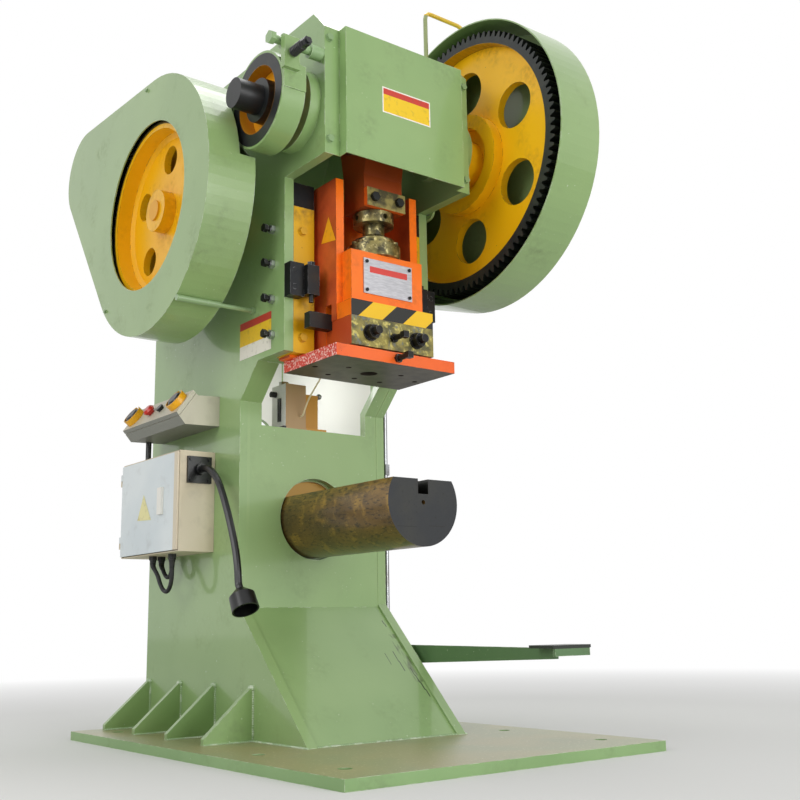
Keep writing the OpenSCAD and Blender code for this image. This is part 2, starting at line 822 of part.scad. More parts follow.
module knockout_brackets() {
    color(green)
        for (s = [-1, 1]) difference() {
            union() {
                block([s < 0 ? -side_x : gib_x + 54, slide_y - 32, jaw_z + 154],
                    [s < 0 ? -gib_x - 54 : side_x, slide_y - seat, jaw_z + 252]);
                block([s < 0 ? -gib_x - 55 : gib_x + 16, slide_y - 52, jaw_z + 159],
                    [s < 0 ? -gib_x - 16 : gib_x + 55, slide_y - 22, jaw_z + 246]);
            }
            bar_z(jaw_z, nose_z, 7.3, s * (gib_x + 36), slide_y - 40);
            for (z = [jaw_z + 180, jaw_z + 228])
                bar_y(slide_y - 33, slide_y - 20, 8, s * (side_x - 15), z);
        }
    color(dark)
        for (s = [-1, 1]) {
            bar_z(jaw_z + 138, jaw_z + 258, 7, s * (gib_x + 36), slide_y - 40);
            translate([s * (gib_x + 36), slide_y - 40, jaw_z + 246 + seat])
                cylinder(d = 24, h = 10, $fn = 6);
            for (z = [jaw_z + 180, jaw_z + 228])
                bar_y(slide_y - 32, slide_y - 20 - seat, 7.6, s * (side_x - 15), z);
        }
}

// Hand oil pump on the window sill, its plate and sight glass.
module lubricator() {
    color("#DDD6C0") {
        block([-112, face_y, window_z + seat], [42, face_y + 95, window_z + 6]);
        block([-103, face_y + 4, window_z + 6], [-31, face_y + 84, window_z + 139]);
        bar_z(window_z + 138, window_z + 150, 15, -86, face_y + 44);
        block([-31, face_y + 30, window_z + 6], [30, face_y + 38, window_z + 118]);
    }
    color(dark)
        block([-107, face_y + 30, window_z + 24], [-103 - seat, face_y + 46, window_z + 96]);
    color("#1B1D1E")
        bar_x(-121, -103 - seat, 9, face_y + 62, window_z + 112);
}
module oil_pipe() {
    color("#B87333") {
        bar_z(jaw_z - 14, jaw_z - seat, 6, -52, jaw_y - 8, $fn = 6);
        bent_in_yz(smooth([[face_y + 3.7, window_z + 40], [face_y - 12, window_z + 42],
            [face_y - 24, window_z + 59], [face_y - 48, window_z + 89],
            [face_y - 85, window_z + 119], [jaw_y - 8, jaw_z - 30],
            [jaw_y - 8, jaw_z - 12], [jaw_y - 8, jaw_z - seat]]), 2.5, -52);
    }
}
module lubricator_lever() {
    color(steel) {
        bar_y(face_y + 38 + seat, face_y + 60, 6, 0, window_z + 62);
        translate([0, face_y + 54, window_z + 62]) rotate([0, 40, 0]) cylinder(r = 4, h = 78);
        translate([0, face_y + 54, window_z + 62]) rotate([0, 40, 0]) translate([0, 0, 78])
            sphere(9);
    }
}

// Foot-mounted motor with ribs, end bells, terminal box and fan cowl.
module motor() {
    x0 = motor_x;
    x1 = x0 + motor_l;
    color("#5E6B66") {
        bar_x(x0 + 22, x1, motor_d / 2 - 10, motor_y, motor_z);
        bar_x(x0, x0 + 24, motor_d / 2 - 24, motor_y, motor_z);
        bar_x(x1 - 1, x1 + 70, motor_d / 2 - 4, motor_y, motor_z);
        for (a = [-165:15:165])
            if (abs(a + 90) > 20)
                translate([x0 + 34, motor_y, motor_z]) rotate([a, 0, 0])
                    translate([0, motor_d / 2 - 12, -2.5]) cube([motor_l - 48, 12, 5]);
        block([x0 + 0.3 * motor_l, motor_y - motor_d / 5, motor_z + 0.44 * motor_d],
            [x0 + 0.64 * motor_l, motor_y + motor_d / 5, motor_z + 0.67 * motor_d]);
        difference() {
            block([x0 + 0.4 * motor_l, motor_y - 0.385 * motor_d, shelf_z],
                [x0 + 0.85 * motor_l, motor_y + 0.385 * motor_d, shelf_z + motor_d / 4]);
            for (x = motor_feet, y = [-0.34, 0.34])
                bar_z(shelf_z - 1, shelf_z + motor_d / 4 + 1, 8.3, x, motor_y + y * motor_d);
        }
    }
}

// V grooves of a belt pulley, cut as rings.
module grooves(x, r, y, z) {
    translate([x, y, z]) rotate([0, 90, 0])
        for (i = [0:belts - 1])
            translate([0, 0, i * groove_pitch]) rotate_extrude($fn = 96) polygon([
                [r - groove_depth, -groove_w * 0.3], [r + 1, -groove_w / 2],
                [r + 1, groove_w / 2], [r - groove_depth, groove_w * 0.3]
            ]);
}
groove_x = fly_x1 - 52.5 - (belts - 1) * groove_pitch / 2;

module motor_pulley() {
    color(dark) {
        difference() {
            bar_x(groove_x - 14, groove_x + (belts - 1) * groove_pitch + 14,
                pulley_d / 2, motor_y, motor_z);
            grooves(groove_x, pulley_d / 2, motor_y, motor_z);
        }
        bar_x(groove_x - 24, -side_x - 62 - seat, 19, motor_y, motor_z);
    }
}

// One belt for each groove, a little clear of its floor.
module drive_belts() {
    top = 2;
    deep = groove_depth - seat;
    color(dark)
        for (i = [0:belts - 1])
            along_x(groove_x + i * groove_pitch - 3.5, 7) difference() {
                two_circles([shaft_y, shaft_z], fly_d / 2 + top,
                    guard_motor, pulley_d / 2 + top);
                two_circles([shaft_y, shaft_z], fly_d / 2 - deep,
                    guard_motor, pulley_d / 2 - deep);
            }
}

// Brake band with its lining and the riveted lug at the front.
module brake_strap() {
    x0 = drum_x0 + 1;
    color(green) difference() {
        union() {
            bar_x(x0, x0 + strap_w, strap_r + strap_t, crank_y, crank_z);
            block([x0, lug_y + 14, lug_z[0] - 50],
                [x0 + strap_w, crank_y - strap_r + 30, crank_z + 60]);
            block([x0 - 6, lug_y, lug_z[0]], [x0 + 42, lug_y + 20, lug_z[1]]);
            bar_x(x0 + 8, x0 + 42, 22, stud_y, stud_z);
            block([x0 + 8, lug_y + 10, lug_z[1] - 36], [x0 + 42, stud_y, lug_z[1] - 10]);
        }
        bar_x(x0 - 1, x0 + strap_w + 1, strap_r, crank_y, crank_z);
        bar_x(x0 - 9, x0 + strap_w + 1, 12 + seat, stud_y, stud_z);
        bar_y(lug_y - 1, lug_y + 60, 8.3, x0 + 18, crank_z + 79);
    }
}

// Fixed stud of the brake, with the sprung bolt that tightens the band.
module brake_anchor() {
    x0 = drum_x0 + 1;
    color(green) {
        bar_x(x0 - 20, -side_x - seat, 12, stud_y, stud_z);
        translate([x0 - 34, stud_y, stud_z]) rotate([0, 90, 0]) cylinder(d = 38, h = 15, $fn = 6);
        bar_x(-side_x - 40, -side_x - seat, 20, stud_y, stud_z);
    }
    color(dark) {
        bar_y(lug_y - 84, lug_y + 40, 8, x0 + 18, crank_z + 79);
        for (y = [lug_y - 78, lug_y - 64])
            translate([x0 + 18, y, crank_z + 79]) rotate([-90, 0, 0])
                cylinder(d = 27, h = 12, $fn = 6);
        for (i = [0:6])
            translate([x0 + 18, lug_y - 8 - i * 7, crank_z + 79]) rotate([90, 0, 0])
                rotate_extrude() translate([12, 0]) circle(2.6, $fn = 16);
        bar_y(lug_y - 52, lug_y - seat, 9.6, x0 + 18, crank_z + 79);
    }
}

module brake_drum() {
    color(dark) difference() {
        bar_x(drum_x0, drum_x1, drum_d / 2, crank_y, crank_z);
        difference() {
            bar_x(drum_x0 - 1, drum_x0 + 44, drum_d / 2 - 34, crank_y, crank_z);
            bar_x(drum_x0 + 2, drum_x0 + 45, stub_d / 2 + 20, crank_y, crank_z);
        }
        bar_x(drum_x0 - 1, drum_x1 + 1, stub_d / 2 + fit, crank_y, crank_z);
    }
}

// Crankshaft: stub for the brake, journals, two cheeks and the pin.
module crankshaft() {
    color("#6F7478") {
        bar_x(crank_left, drum_x1 + 4, stub_d / 2, crank_y, crank_z);
        bar_x(drum_x1 + 3, -cheek_x, journal_d / 2, crank_y, crank_z);
        bar_x(cheek_x, crank_right, journal_d / 2, crank_y, crank_z);
        bar_x(-cheek_x - 1, cheek_x + 1, pin_d / 2, crank_y, pin_z);
        for (x = [-cheek_out, cheek_x])
            along_x(x, cheek_t) {
                translate([crank_y, crank_z]) circle(cheek_r);
                translate([crank_y, pin_z]) circle(cheek_r);
                translate([crank_y - cheek_r, crank_z]) square([2 * cheek_r, throw]);
            }
        bar_x(crank_right - 16, crank_right, journal_d / 2 + 22, crank_y, crank_z);
    }
}

// Bull gear: toothed rim, recessed web with six holes, and the clutch hub.
module bull_gear() {
    color(yellow) translate([0, crank_y, crank_z]) difference() {
        union() {
            along_x(gear_x, gear_w) polygon(gear_points(gear_n, mesh_angle));
            bar_x(hub_x, gear_x + 5, boss_r, 0, 0);
        }
        difference() {
            bar_x(gear_x - 1, web_x, rim_in_r, 0, 0);
            difference() {
                bar_x(gear_x + 4, web_x + 1, hub_r, 0, 0);
                bar_x(gear_x, web_x - 6, hub_r - 44, 0, 0);
            }
            bar_x(hub_x, web_x + 1, boss_r, 0, 0);
        }
        difference() {
            bar_x(web_x + web_t, gear_x + gear_w + 1, rim_in_r, 0, 0);
            bar_x(web_x, gear_x + gear_w + 1, boss_r + 14, 0, 0);
        }
        for (i = [0:5])
            bar_x(web_x - 1, web_x + web_t + 1, web_hole_r,
                web_hole_at * cos(30 + 60 * i), web_hole_at * sin(30 + 60 * i));
        bar_x(hub_x - 1, gear_x + gear_w + 1, journal_d / 2 + fit, 0, 0);
    }
}

module flywheel() {
    r = fly_d / 2;
    inside = r - fly_rim;
    web = fly_x0 + 53;
    color(yellow) translate([0, shaft_y, shaft_z]) difference() {
        bar_x(fly_x0, fly_x1, r, 0, 0, $fn = 96);
        difference() {
            union() {
                bar_x(fly_x0 - 1, web - 8, inside, 0, 0);
                translate([web - 8.1, 0, 0]) rotate([0, 90, 0])
                    cylinder(r1 = inside, r2 = inside - 16, h = 8.1);
            }
            bar_x(fly_x0 + 15, web + 1, 64, 0, 0);
        }
        difference() {
            bar_x(web + 22, fly_x1 + 1, inside - 24, 0, 0);
            bar_x(web, fly_x1, 64, 0, 0);
        }
        for (i = [0:4])
            bar_x(web - 1, web + 23, 44, 168 * cos(96 + 72 * i), 168 * sin(96 + 72 * i));
        bar_x(fly_x0 - 1, fly_x1 + 1, shaft_d / 2 - 4 + fit, 0, 0);
        grooves(groove_x, r, 0, 0);
    }
}

module pinion_shaft() {
    color(steel) {
        bar_x(fly_x0 + 9, fly_x1 + 2, shaft_d / 2 - 4, shaft_y, shaft_z);
        bar_x(fly_x1 + 1, gear_x + gear_w + 12, shaft_d / 2, shaft_y, shaft_z);
        translate([0, shaft_y, shaft_z]) along_x(gear_x, gear_w)
            polygon(gear_points(pinion_n, mesh_angle + 180 + 180 / pinion_n));
    }
}

// Connecting rod: lower half of the big end, tapering down to the screw block.
module connecting_rod() {
    w = rod_w / 2;
    color(orange) difference() {
        union() {
            difference() {
                bar_x(-w, w, big_end_r, crank_y, pin_z);
                block([-w - 1, crank_y - 200, pin_z - 0.2], [w + 1, crank_y + 200, pin_z + 200]);
            }
            along_x(-w, 2 * w) polygon([
                [rod_y[0], rod_bottom], [rod_y[1], rod_bottom], [rod_y[1], rod_bottom + 100],
                [crank_y + big_end_r, pin_z - 0.2], [crank_y - big_end_r, pin_z - 0.2],
                [rod_y[0], rod_bottom + 100]
            ]);
            for (s = [-1, 1])
                block([-w + 12, crank_y + s * (big_end_r + 6) - 16, pin_z - 42],
                    [w - 12, crank_y + s * (big_end_r + 6) + 16, pin_z - 0.2]);
        }
        bar_x(-w - 1, w + 1, pin_d / 2 + fit, crank_y, pin_z);
        bar_z(rod_bottom - 1, rod_bottom + 120, screw_d / 2 + seat, 0, crank_y);
    }
}
module rod_cap() {
    w = rod_w / 2;
    color(orange) difference() {
        union() {
            bar_x(-w, w, big_end_r, crank_y, pin_z);
            for (s = [-1, 1])
                block([-w + 12, crank_y + s * (big_end_r + 6) - 16, pin_z],
                    [w - 12, crank_y + s * (big_end_r + 6) + 16, pin_z + 34]);
        }
        block([-w - 1, crank_y - 200, pin_z - 200], [w + 1, crank_y + 200, pin_z]);
        bar_x(-w - 1, w + 1, pin_d / 2 + fit, crank_y, pin_z);
    }
    color(steel) {
        block([-w, rod_y[0] - 16, rod_bottom], [w, rod_y[0] - seat, rod_bottom + 56]);
        for (s = [-1, 1])
            translate([s * 44, rod_y[0] - 16 - seat, rod_bottom + 28]) rotate([90, 0, 0])
                cylinder(d = 28, h = 12, $fn = 6);
    }
}

// Ball screw with its collar, drilled for a turning bar.
module adjusting_screw() {
    color("#5B564E") difference() {
        union() {
            bar_z(ball_z, rod_bottom + 110, screw_d / 2, 0, crank_y);
            bar_z(rod_bottom - 36, rod_bottom - 2, collar_d / 2, 0, crank_y);
            translate([0, crank_y, ball_z]) sphere(ball_r);
        }
        for (a = [0, 90])
            translate([0, crank_y, rod_bottom - 19]) rotate([0, 90, a])
                cylinder(r = 8, h = collar_d + 2, center = true);
    }
}
module ball_retainer() {
    color("#4A4D4C") difference() {
        union() {
            bar_z(deck_z + seat, deck_z + 40, retainer_r, 0, crank_y);
            bar_z(deck_z + 39, deck_z + retainer_h, retainer_r - 16, 0, crank_y);
        }
        translate([0, crank_y, ball_z]) sphere(ball_r + 0.4);
        bar_z(ball_z, deck_z + retainer_h + 1, screw_d / 2 + 3, 0, crank_y);
    }
    color(dark)
        for (i = [0:5])
            translate([(retainer_r - 8) * cos(60 * i), crank_y + (retainer_r - 8) * sin(60 * i),
                deck_z + 40 + seat]) cylinder(d = 15, h = 9, $fn = 6);
}

// Ram: pocket for the rod, wings behind the gibs, front block, band and bar slot.
module ram() {
    h = ram_w / 2;
    color(orange) difference() {
        union() {
            block([-wing_x, wing_y[0], ram_z], [wing_x, ram_back, ram_top]);
            block([-h, ram_front, ram_z], [h, wing_y[0] + 1, ram_top]);
            block([-127, block_front, band_z + 50], [127, ram_front + 1, deck_z]);
            block([-145, clamp_y, band_z], [145, ram_front + 1, band_z + band_h]);
        }
        block([-column_in, ram_front - 60, deck_z], [column_in, -62, ram_top + 1]);
        block([-h - 1, clamp_y - 1, ram_z - 1], [h + 1, split_y + seat, band_z]);
        block([-h - 1, bar_y[0] - slot_gap, bar_z[0] - slot_gap],
            [h + 1, bar_y[1] + slot_gap, bar_z[1] + knock_travel + 1]);
        bar_z(ram_z - 1, band_z + 20, shank_d / 2 + 0.5, 0, shank_y);
    }
}
module ram_plate() {
    color("#F0582A") difference() {
        block([-ram_plate_w / 2, ram_plate_y, ram_z - ram_plate_t],
            [ram_plate_w / 2, -20, ram_z]);
        bar_z(ram_z - ram_plate_t - 1, ram_z + 1, shank_d / 2, 0, shank_y);
        for (p = plate_holes)
            bar_z(ram_z - ram_plate_t - 1, ram_z + 1, plate_hole_d / 2, p[0], p[1]);
    }
}
module shank_clamp() {
    color("#8C8246") difference() {
        block([-145, clamp_y, band_z - clamp_h], [145, split_y, band_z - seat]);
        bar_z(ram_z, band_z, shank_d / 2 + 0.5, 0, shank_y);
        block([-146, bar_y[0] - slot_gap, bar_z[0] - slot_gap],
            [146, shank_y + 1, band_z + 1]);
        for (s = [-1, 1])
            bar_y(clamp_y - 1, split_y + 1, 12.3, s * stud_x, stud_at);
    }
}
module set_screw(y, z) {
    bar_y(y - 44, y, 8, 0, z);
    block([-9, y - 60, z - 9], [9, y - 42, z + 9]);
    translate([0, y, z]) rotate([90, 0, 0]) cylinder(d = 26, h = 9, $fn = 6);
}
module clamp_studs() {
    color(dark)
        for (s = [-1, 1]) {
            bar_y(clamp_y - 44, split_y, 12, s * stud_x, stud_at);
            bar_y(clamp_y - 4, clamp_y - seat, 24, s * stud_x, stud_at);
            translate([s * stud_x, clamp_y - 4, stud_at]) rotate([90, 0, 0])
                cylinder(d = 42, h = 20, $fn = 6);
        }
    color("#6B6348") {
        set_screw(clamp_y - seat, stud_at - 4);
        set_screw(ram_plate_y - seat, ram_z - ram_plate_t / 2);
    }
}

// Bare plate on the ram's front block, with its rivets.
module ram_cover() {
    color("#BEBEC3") {
        block([-86, block_front - 4, band_z + 78], [86, block_front - seat, deck_z - 20]);
        for (x = [-76, 76], z = [band_z + 88, deck_z - 30])
            bar_y(block_front - 8, block_front - 3, 5, x, z);
    }
}
module knockout_bar() {
    color(dark)
        block([-bar_x, bar_y[0], bar_z[0]], [bar_x, bar_y[1], bar_z[1]]);
}

module cabinet() {
    t = cabinet_t;
    back = -side_x - seat;
    color("#CDBFA3") {
        difference() {
            block([door_x, cabinet_y, cabinet_z], [back, cabinet_y + cabinet_l, cabinet_top]);
            block([door_x - 1, cabinet_y + t, cabinet_z + t],
                [back - t, cabinet_y + cabinet_l - t, cabinet_top - t]);
            for (g = glands)
                bar_z(cabinet_z - 1, cabinet_z + t + 1, 10.3, g[0], g[1]);
            bar_z(cabinet_top - t - 1, cabinet_top + 1, conduit_d / 2 + seat, cable_x, conduit_y);
        }
        for (z = hinge_z) {
            bar_z(z, z + 18, 5, hinge_at[0], hinge_at[1]);
            bar_z(z + 17, z + 36, 2.5, hinge_at[0], hinge_at[1]);
            block([hinge_at[0], hinge_at[1] - 7, z], [hinge_at[0] + 26, hinge_at[1] - 3, z + 18]);
        }
    }
    color(steel) {
        block([back - t - 6, cabinet_y + 20, cabinet_z + 20],
            [back - t - seat, cabinet_y + cabinet_l - 20, cabinet_top - 20]);
    }
    color("#E6E3DA")
        for (i = [0:3])
            block([back - t - 62, cabinet_y + 50 + 72 * i, cabinet_top - 150],
                [back - t - 6.3, cabinet_y + 104 + 72 * i, cabinet_top - 70]);
    color(dark)
        for (g = glands) {
            bar_z(cabinet_z - 18, cabinet_z + 8, 10, g[0], g[1]);
            translate([g[0], g[1], cabinet_z - 12]) cylinder(d = 27, h = 11.7, $fn = 6);
        }
}
module cabinet_door() {
    y0 = cabinet_y + 4;
    y1 = cabinet_y + cabinet_l - 4;
    z0 = cabinet_z + 5;
    z1 = cabinet_top - 5;
    color("#BEC8CD") difference() {
        union() {
            block([cab_x0, y0, z0], [door_x - seat, y1, z1]);
            for (z = hinge_z) {
                bar_z(z + 18 + seat, z + 38, 5, hinge_at[0], hinge_at[1]);
                block([cab_x0, y1 - 1, z + 18 + seat], [cab_x0 + 2, hinge_at[1], z + 38]);
            }
        }
        block([cab_x0 + 3, y0 + 3, z0 + 3], [door_x, y1 - 3, z1 - 3]);
        for (z = hinge_z)
            bar_z(z, z + 39, 2.5 + fit, hinge_at[0], hinge_at[1]);
    }
    color("#E4E4DE")
        block([cab_x0 - 9, cabinet_y + 93, cabinet_z + 115],
            [cab_x0 - seat, cabinet_y + 121, cabinet_z + 196]);
}

// Cables that hang in two loops under the cabinet, from gland to gland.
module near_cable() {
    color(dark) bent_in_yz(smooth(near_loop), cable_d / 2, near_x);
}
module far_cable() {
    color(dark) bent_in_yz(smooth(far_loop), cable_d / 2, far_x);
}

module console() {
    color(green) difference() {
        along_y(console_y, console_l)
            polygon([for (p = console_profile) [p[0] - side_x, p[1]]]);
        for (b = [[palm_y[0], palm_d / 2 - 10], [palm_y[1], palm_d / 2 - 10],
            [stop_y, 11], [start_y, 11]])
            on_panel(b[0], -16) cylinder(r = b[1] + seat, h = 17);
        bar_z(900, 940, conduit_d / 2 + seat, cable_x, conduit_y);
        on_panel(console_y + console_l / 2, -13) difference() {
            translate([-panel_l / 2 - 12, -console_l / 2 - 1, -1])
                cube([panel_l + 24, console_l + 2, 2]);
            translate([-panel_l / 2 - 0.5, 2.5 - console_l / 2, -1.5])
                cube([panel_l - 3.5, console_l - 5, 3]);
        }
    }
}
// Places a shape on the sloping console panel, its z axis straight out of it.
module on_panel(y, out) {
    translate([panel_mid[0], y, panel_mid[1]]) rotate([0, -panel_tilt, 0])
        translate([0, 0, out]) children();
}
module button_guards() {
    color(yellow)
        for (y = palm_y)
            on_panel(y, seat) difference() {
                cylinder(r = palm_d / 2 + 6, h = 21);
                translate([0, 0, -1]) cylinder(r = palm_d / 2 + 3, h = 23);
                translate([0, -8, 9]) cube([60, 16, 20]);
            }
}
module palm_button(y) {
    color("#1E1E1E") {
        on_panel(y, -8) cylinder(r = palm_d / 2 - 10, h = 18);
        on_panel(y, palm_travel + 1) cylinder(r = palm_d / 2, h = 10);
        on_panel(y, palm_travel + 11) cylinder(r1 = palm_d / 2, r2 = palm_d / 2 - 8, h = 7);
    }
}
module left_palm_button() {
    palm_button(palm_y[1]);
}
module right_palm_button() {
    palm_button(palm_y[0]);
}
module stop_button() {
    color("#C8281E") {
        on_panel(stop_y, -8) cylinder(r = 11, h = 16);
        on_panel(stop_y, 6) cylinder(r1 = stop_d / 2 - 4, r2 = stop_d / 2, h = 8);
        on_panel(stop_y, 14) cylinder(r1 = stop_d / 2, r2 = stop_d / 2 - 6, h = 8);
    }
}
module start_button() {
    color(dark) {
        on_panel(start_y, -8) cylinder(r = 11, h = 14);
        on_panel(start_y, 5) cylinder(r = 13, h = 6);
    }
}
module console_conduit() {
    color("#3A3D3E") {
        bar_z(cabinet_top - 6, 939, conduit_d / 2, cable_x, conduit_y);
        bar_z(cabinet_top + seat, cabinet_top + 14, conduit_d / 2 + 6, cable_x, conduit_y);
    }
}

// Gooseneck lamp: flange with its screws, the bent neck and the head.
module lamp_neck() {
    color(dark) {
        block([lamp_x - 39, cabinet_y - 8, lamp_z - 39],
            [lamp_x + 39, cabinet_y - seat, lamp_z + 41]);
        bar_y(cabinet_y - 22, cabinet_y - 7, 17, lamp_x, lamp_z + 2);
    }
    color(steel)
        for (x = [-30, 30], z = [-30, 32])
            bar_y(cabinet_y - 12, cabinet_y - 8, 5, lamp_x + x, lamp_z + z);
    color(dark) bent_in_yz(smooth(lamp_route), 10.5, lamp_x, 10);
}
module lamp_head() {
    r = lamp_d / 2;
    color(dark) translate([lamp_x, lamp_at[0], lamp_at[1]]) rotate([-lamp_tilt, 0, 0])
        difference() {
            union() {
                cylinder(r1 = r, r2 = r - 2, h = 44, center = true);
                translate([0, 0, 22]) cylinder(r1 = r - 2, r2 = 15, h = 20);
            }
            translate([0, 0, -23]) cylinder(r = r - 4, h = 34);
        }
}

// Pedal: flat bar with a pad at its front end, and the hole for the pull rod.
module pedal() {
    x = pedal_x;
    color(green) difference() {
        union() {
            along_x(x - 6, 12) polygon([
                [pedal_front, pedal_z + 22], [pedal_front, pedal_z - 6],
                [pedal_y - 120, pedal_z - 29], [pedal_y + 25, pedal_z - 25],
                [pedal_y + 25, pedal_z + 25], [pedal_y - 120, pedal_z + 29]
            ]);
            block([x - 46, pedal_front - 34, pedal_z + 22],
                [x + 94, pedal_front + 56, pedal_z + 30]);
            block([x - 40, pedal_front - 34, pedal_z + 2], [x + 90, pedal_front - 26, pedal_z + 23]);
        }
        bar_x(x - 7, x + 7, pivot_r + fit, pedal_y, pedal_z);
        bar_x(x - 7, x + 7, link_pin_r + pedal_gap, pull_y, pedal_z);
    }
}
// Fixed studs that the pedal and the trip lever turn on.
module lever_pivots() {
    color(steel) {
        bar_x(side_x + seat, pedal_x + 10, pivot_r, pedal_y, pedal_z);
        bar_x(side_x + seat, pedal_x - 6.5, 26, pedal_y, pedal_z);
        translate([pedal_x + 6.5, pedal_y, pedal_z]) rotate([0, 90, 0])
            cylinder(d = 36, h = 12, $fn = 6);
        bar_x(side_x + seat, trip_x + trip_t + 2, trip_pivot_r, trip_y, trip_z);
        bar_x(trip_x + trip_t + seat, trip_x + trip_t + 6, 15, trip_y, trip_z);
    }
}

// Rod that ties the pedal to the trip lever of the clutch, with its adjusting nut.
module pull_rod() {
    r = pull_d / 2;
    color(steel) {
        bar_z(pedal_z - 10, trip_z - trip_drop + 10, r, pull_x, pull_y);
        bar_x(pull_x, pedal_x + 10, link_pin_r, pull_y, pedal_z);
        bar_x(trip_x, pull_x, link_pin_r, pull_y, trip_z - trip_drop);
        translate([pull_x, pull_y, 800]) cylinder(d = 30, h = 34, $fn = 6);
    }
}
module trip_lever() {
    color(green) difference() {
        along_x(trip_x, trip_t)
            wrap([trip_y, trip_z], 24, [pull_y, trip_z - trip_drop], 16, 15);
        bar_x(trip_x - 1, trip_x + trip_t + 1, trip_pivot_r + fit, trip_y, trip_z);
        bar_x(trip_x - 1, trip_x + trip_t + 1, link_pin_r + trip_gap, pull_y,
            trip_z - trip_drop);
    }
}

base_plate();
left_side_plate();
right_side_plate();
column_plate();
slope_plate();
rear_plate();
head_plate();
slide_bed();
gussets();
horn();
bearing_housings();
bearing_bushes();
crank_cover();
frame_bolts();
gibs();
gib_caps();
belt_guard();
guard_stays();
gear_guard();
knockout_brackets();
lubricator();
oil_pipe();
lubricator_lever();
motor();
motor_pulley();
drive_belts();
brake_strap();
brake_anchor();
brake_drum();
crankshaft();
bull_gear();
flywheel();
pinion_shaft();
connecting_rod();
rod_cap();
adjusting_screw();
ball_retainer();
ram();
ram_plate();
shank_clamp();
clamp_studs();
ram_cover();
knockout_bar();
cabinet();
cabinet_door();
near_cable();
far_cable();
console();
button_guards();
left_palm_button();
right_palm_button();
stop_button();
start_button();
console_conduit();
lamp_neck();
lamp_head();
pedal();
lever_pivots();
pull_rod();
trip_lever();
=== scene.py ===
# %% [markdown]
# # A geared stamping press, dressed for its portrait
# The press comes in as a finished set of solids, in metres, with the floor at z = 0,
# its front towards -Y and its belt drive on the -X side.
# Every solid keeps its place. This lesson gives each one the paint, metal or rubber that
# it has on the real machine, and adds the small things that a workshop leaves on a press:
# weld beads, painted fields, cables in their rubber boots and a lamp bulb.

# %% Load the solids
import math

import bmesh
import bpy
from mathutils import Matrix, Vector
from mathutils.bvhtree import BVHTree


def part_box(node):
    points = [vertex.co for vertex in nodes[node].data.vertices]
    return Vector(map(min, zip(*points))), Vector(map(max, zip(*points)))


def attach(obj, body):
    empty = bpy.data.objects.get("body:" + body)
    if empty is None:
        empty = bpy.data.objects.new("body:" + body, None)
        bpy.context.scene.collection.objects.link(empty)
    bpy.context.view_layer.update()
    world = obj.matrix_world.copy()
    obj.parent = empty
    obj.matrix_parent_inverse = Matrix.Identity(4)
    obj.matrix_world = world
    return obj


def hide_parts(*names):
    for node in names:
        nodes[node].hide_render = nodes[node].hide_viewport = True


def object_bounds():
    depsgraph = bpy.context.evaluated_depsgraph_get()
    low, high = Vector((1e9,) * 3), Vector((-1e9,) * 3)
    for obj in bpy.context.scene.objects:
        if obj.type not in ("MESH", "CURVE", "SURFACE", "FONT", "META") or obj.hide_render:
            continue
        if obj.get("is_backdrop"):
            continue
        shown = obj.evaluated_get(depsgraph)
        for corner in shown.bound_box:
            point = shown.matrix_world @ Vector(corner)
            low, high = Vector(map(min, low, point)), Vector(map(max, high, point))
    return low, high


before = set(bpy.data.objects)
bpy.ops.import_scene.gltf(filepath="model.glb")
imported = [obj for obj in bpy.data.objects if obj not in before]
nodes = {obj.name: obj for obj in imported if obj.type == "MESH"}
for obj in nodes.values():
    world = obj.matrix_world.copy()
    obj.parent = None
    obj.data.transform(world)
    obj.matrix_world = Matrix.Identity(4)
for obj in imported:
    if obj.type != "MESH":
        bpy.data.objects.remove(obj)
solid_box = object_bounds()
print("solids:", len(nodes), "height in metres:", round(solid_box[1].z, 3))

# %% [markdown]
# The portrait is taken from low down in front of the left corner, with a short telephoto
# lens. A camera looks along its own -Z, so its three axes are built one after another:
# forward from yaw and pitch, right as a level line, up from those two, and a small roll.

# %% Set up the camera
def put(name, data):
    """A new object in the scene that shows this data."""
    item = bpy.data.objects.new(name, data)
    bpy.context.scene.collection.objects.link(item)
    return item


YAW, PITCH, ROLL = (math.radians(angle) for angle in (-37.756, 11.698, -1.018))
CAMERA_AT = Vector((-1.8011, -2.6193, 0.3290))
forward = Vector((-math.sin(YAW) * math.cos(PITCH), math.cos(YAW) * math.cos(PITCH),
                  math.sin(PITCH)))
level = Vector((math.cos(YAW), math.sin(YAW), 0))
upright = level.cross(forward)
right = math.cos(ROLL) * level + math.sin(ROLL) * upright
top = -math.sin(ROLL) * level + math.cos(ROLL) * upright

lens = bpy.data.cameras.new("portrait_camera")
lens.lens = 48.75
lens.sensor_width = 36
lens.clip_end = 100
camera = put("portrait_camera", lens)
place = Matrix((right, top, -forward)).transposed().to_4x4()
place.translation = CAMERA_AT
camera.matrix_world = place
bpy.context.scene.camera = camera
print("camera at", tuple(round(v, 3) for v in place.translation))

# %% [markdown]
# Two short control cables loop under the switch cabinet, each from one gland to another.
# A cable is a fixed length of something springy, so it hangs in one smooth open loop.
# The loop is a curve through a few points, rounded off with the same rule as the solids.

# %% Hang the two cables
def rounded(points, steps=6):
    out = []
    for i in range(len(points) - 1):
        a, b = points[max(i - 1, 0)], points[i]
        c, d = points[i + 1], points[min(i + 2, len(points) - 1)]
        for k in range(steps):
            t = k / steps
            out.append([0.5 * (2 * q + (r - p) * t + (2 * p - 5 * q + 4 * r - s) * t * t
                               + (3 * q - p - 3 * r + s) * t ** 3)
                        for p, q, r, s in zip(a, b, c, d)])
    return out + [list(points[-1])]


CABLE_RADIUS = 0.0065


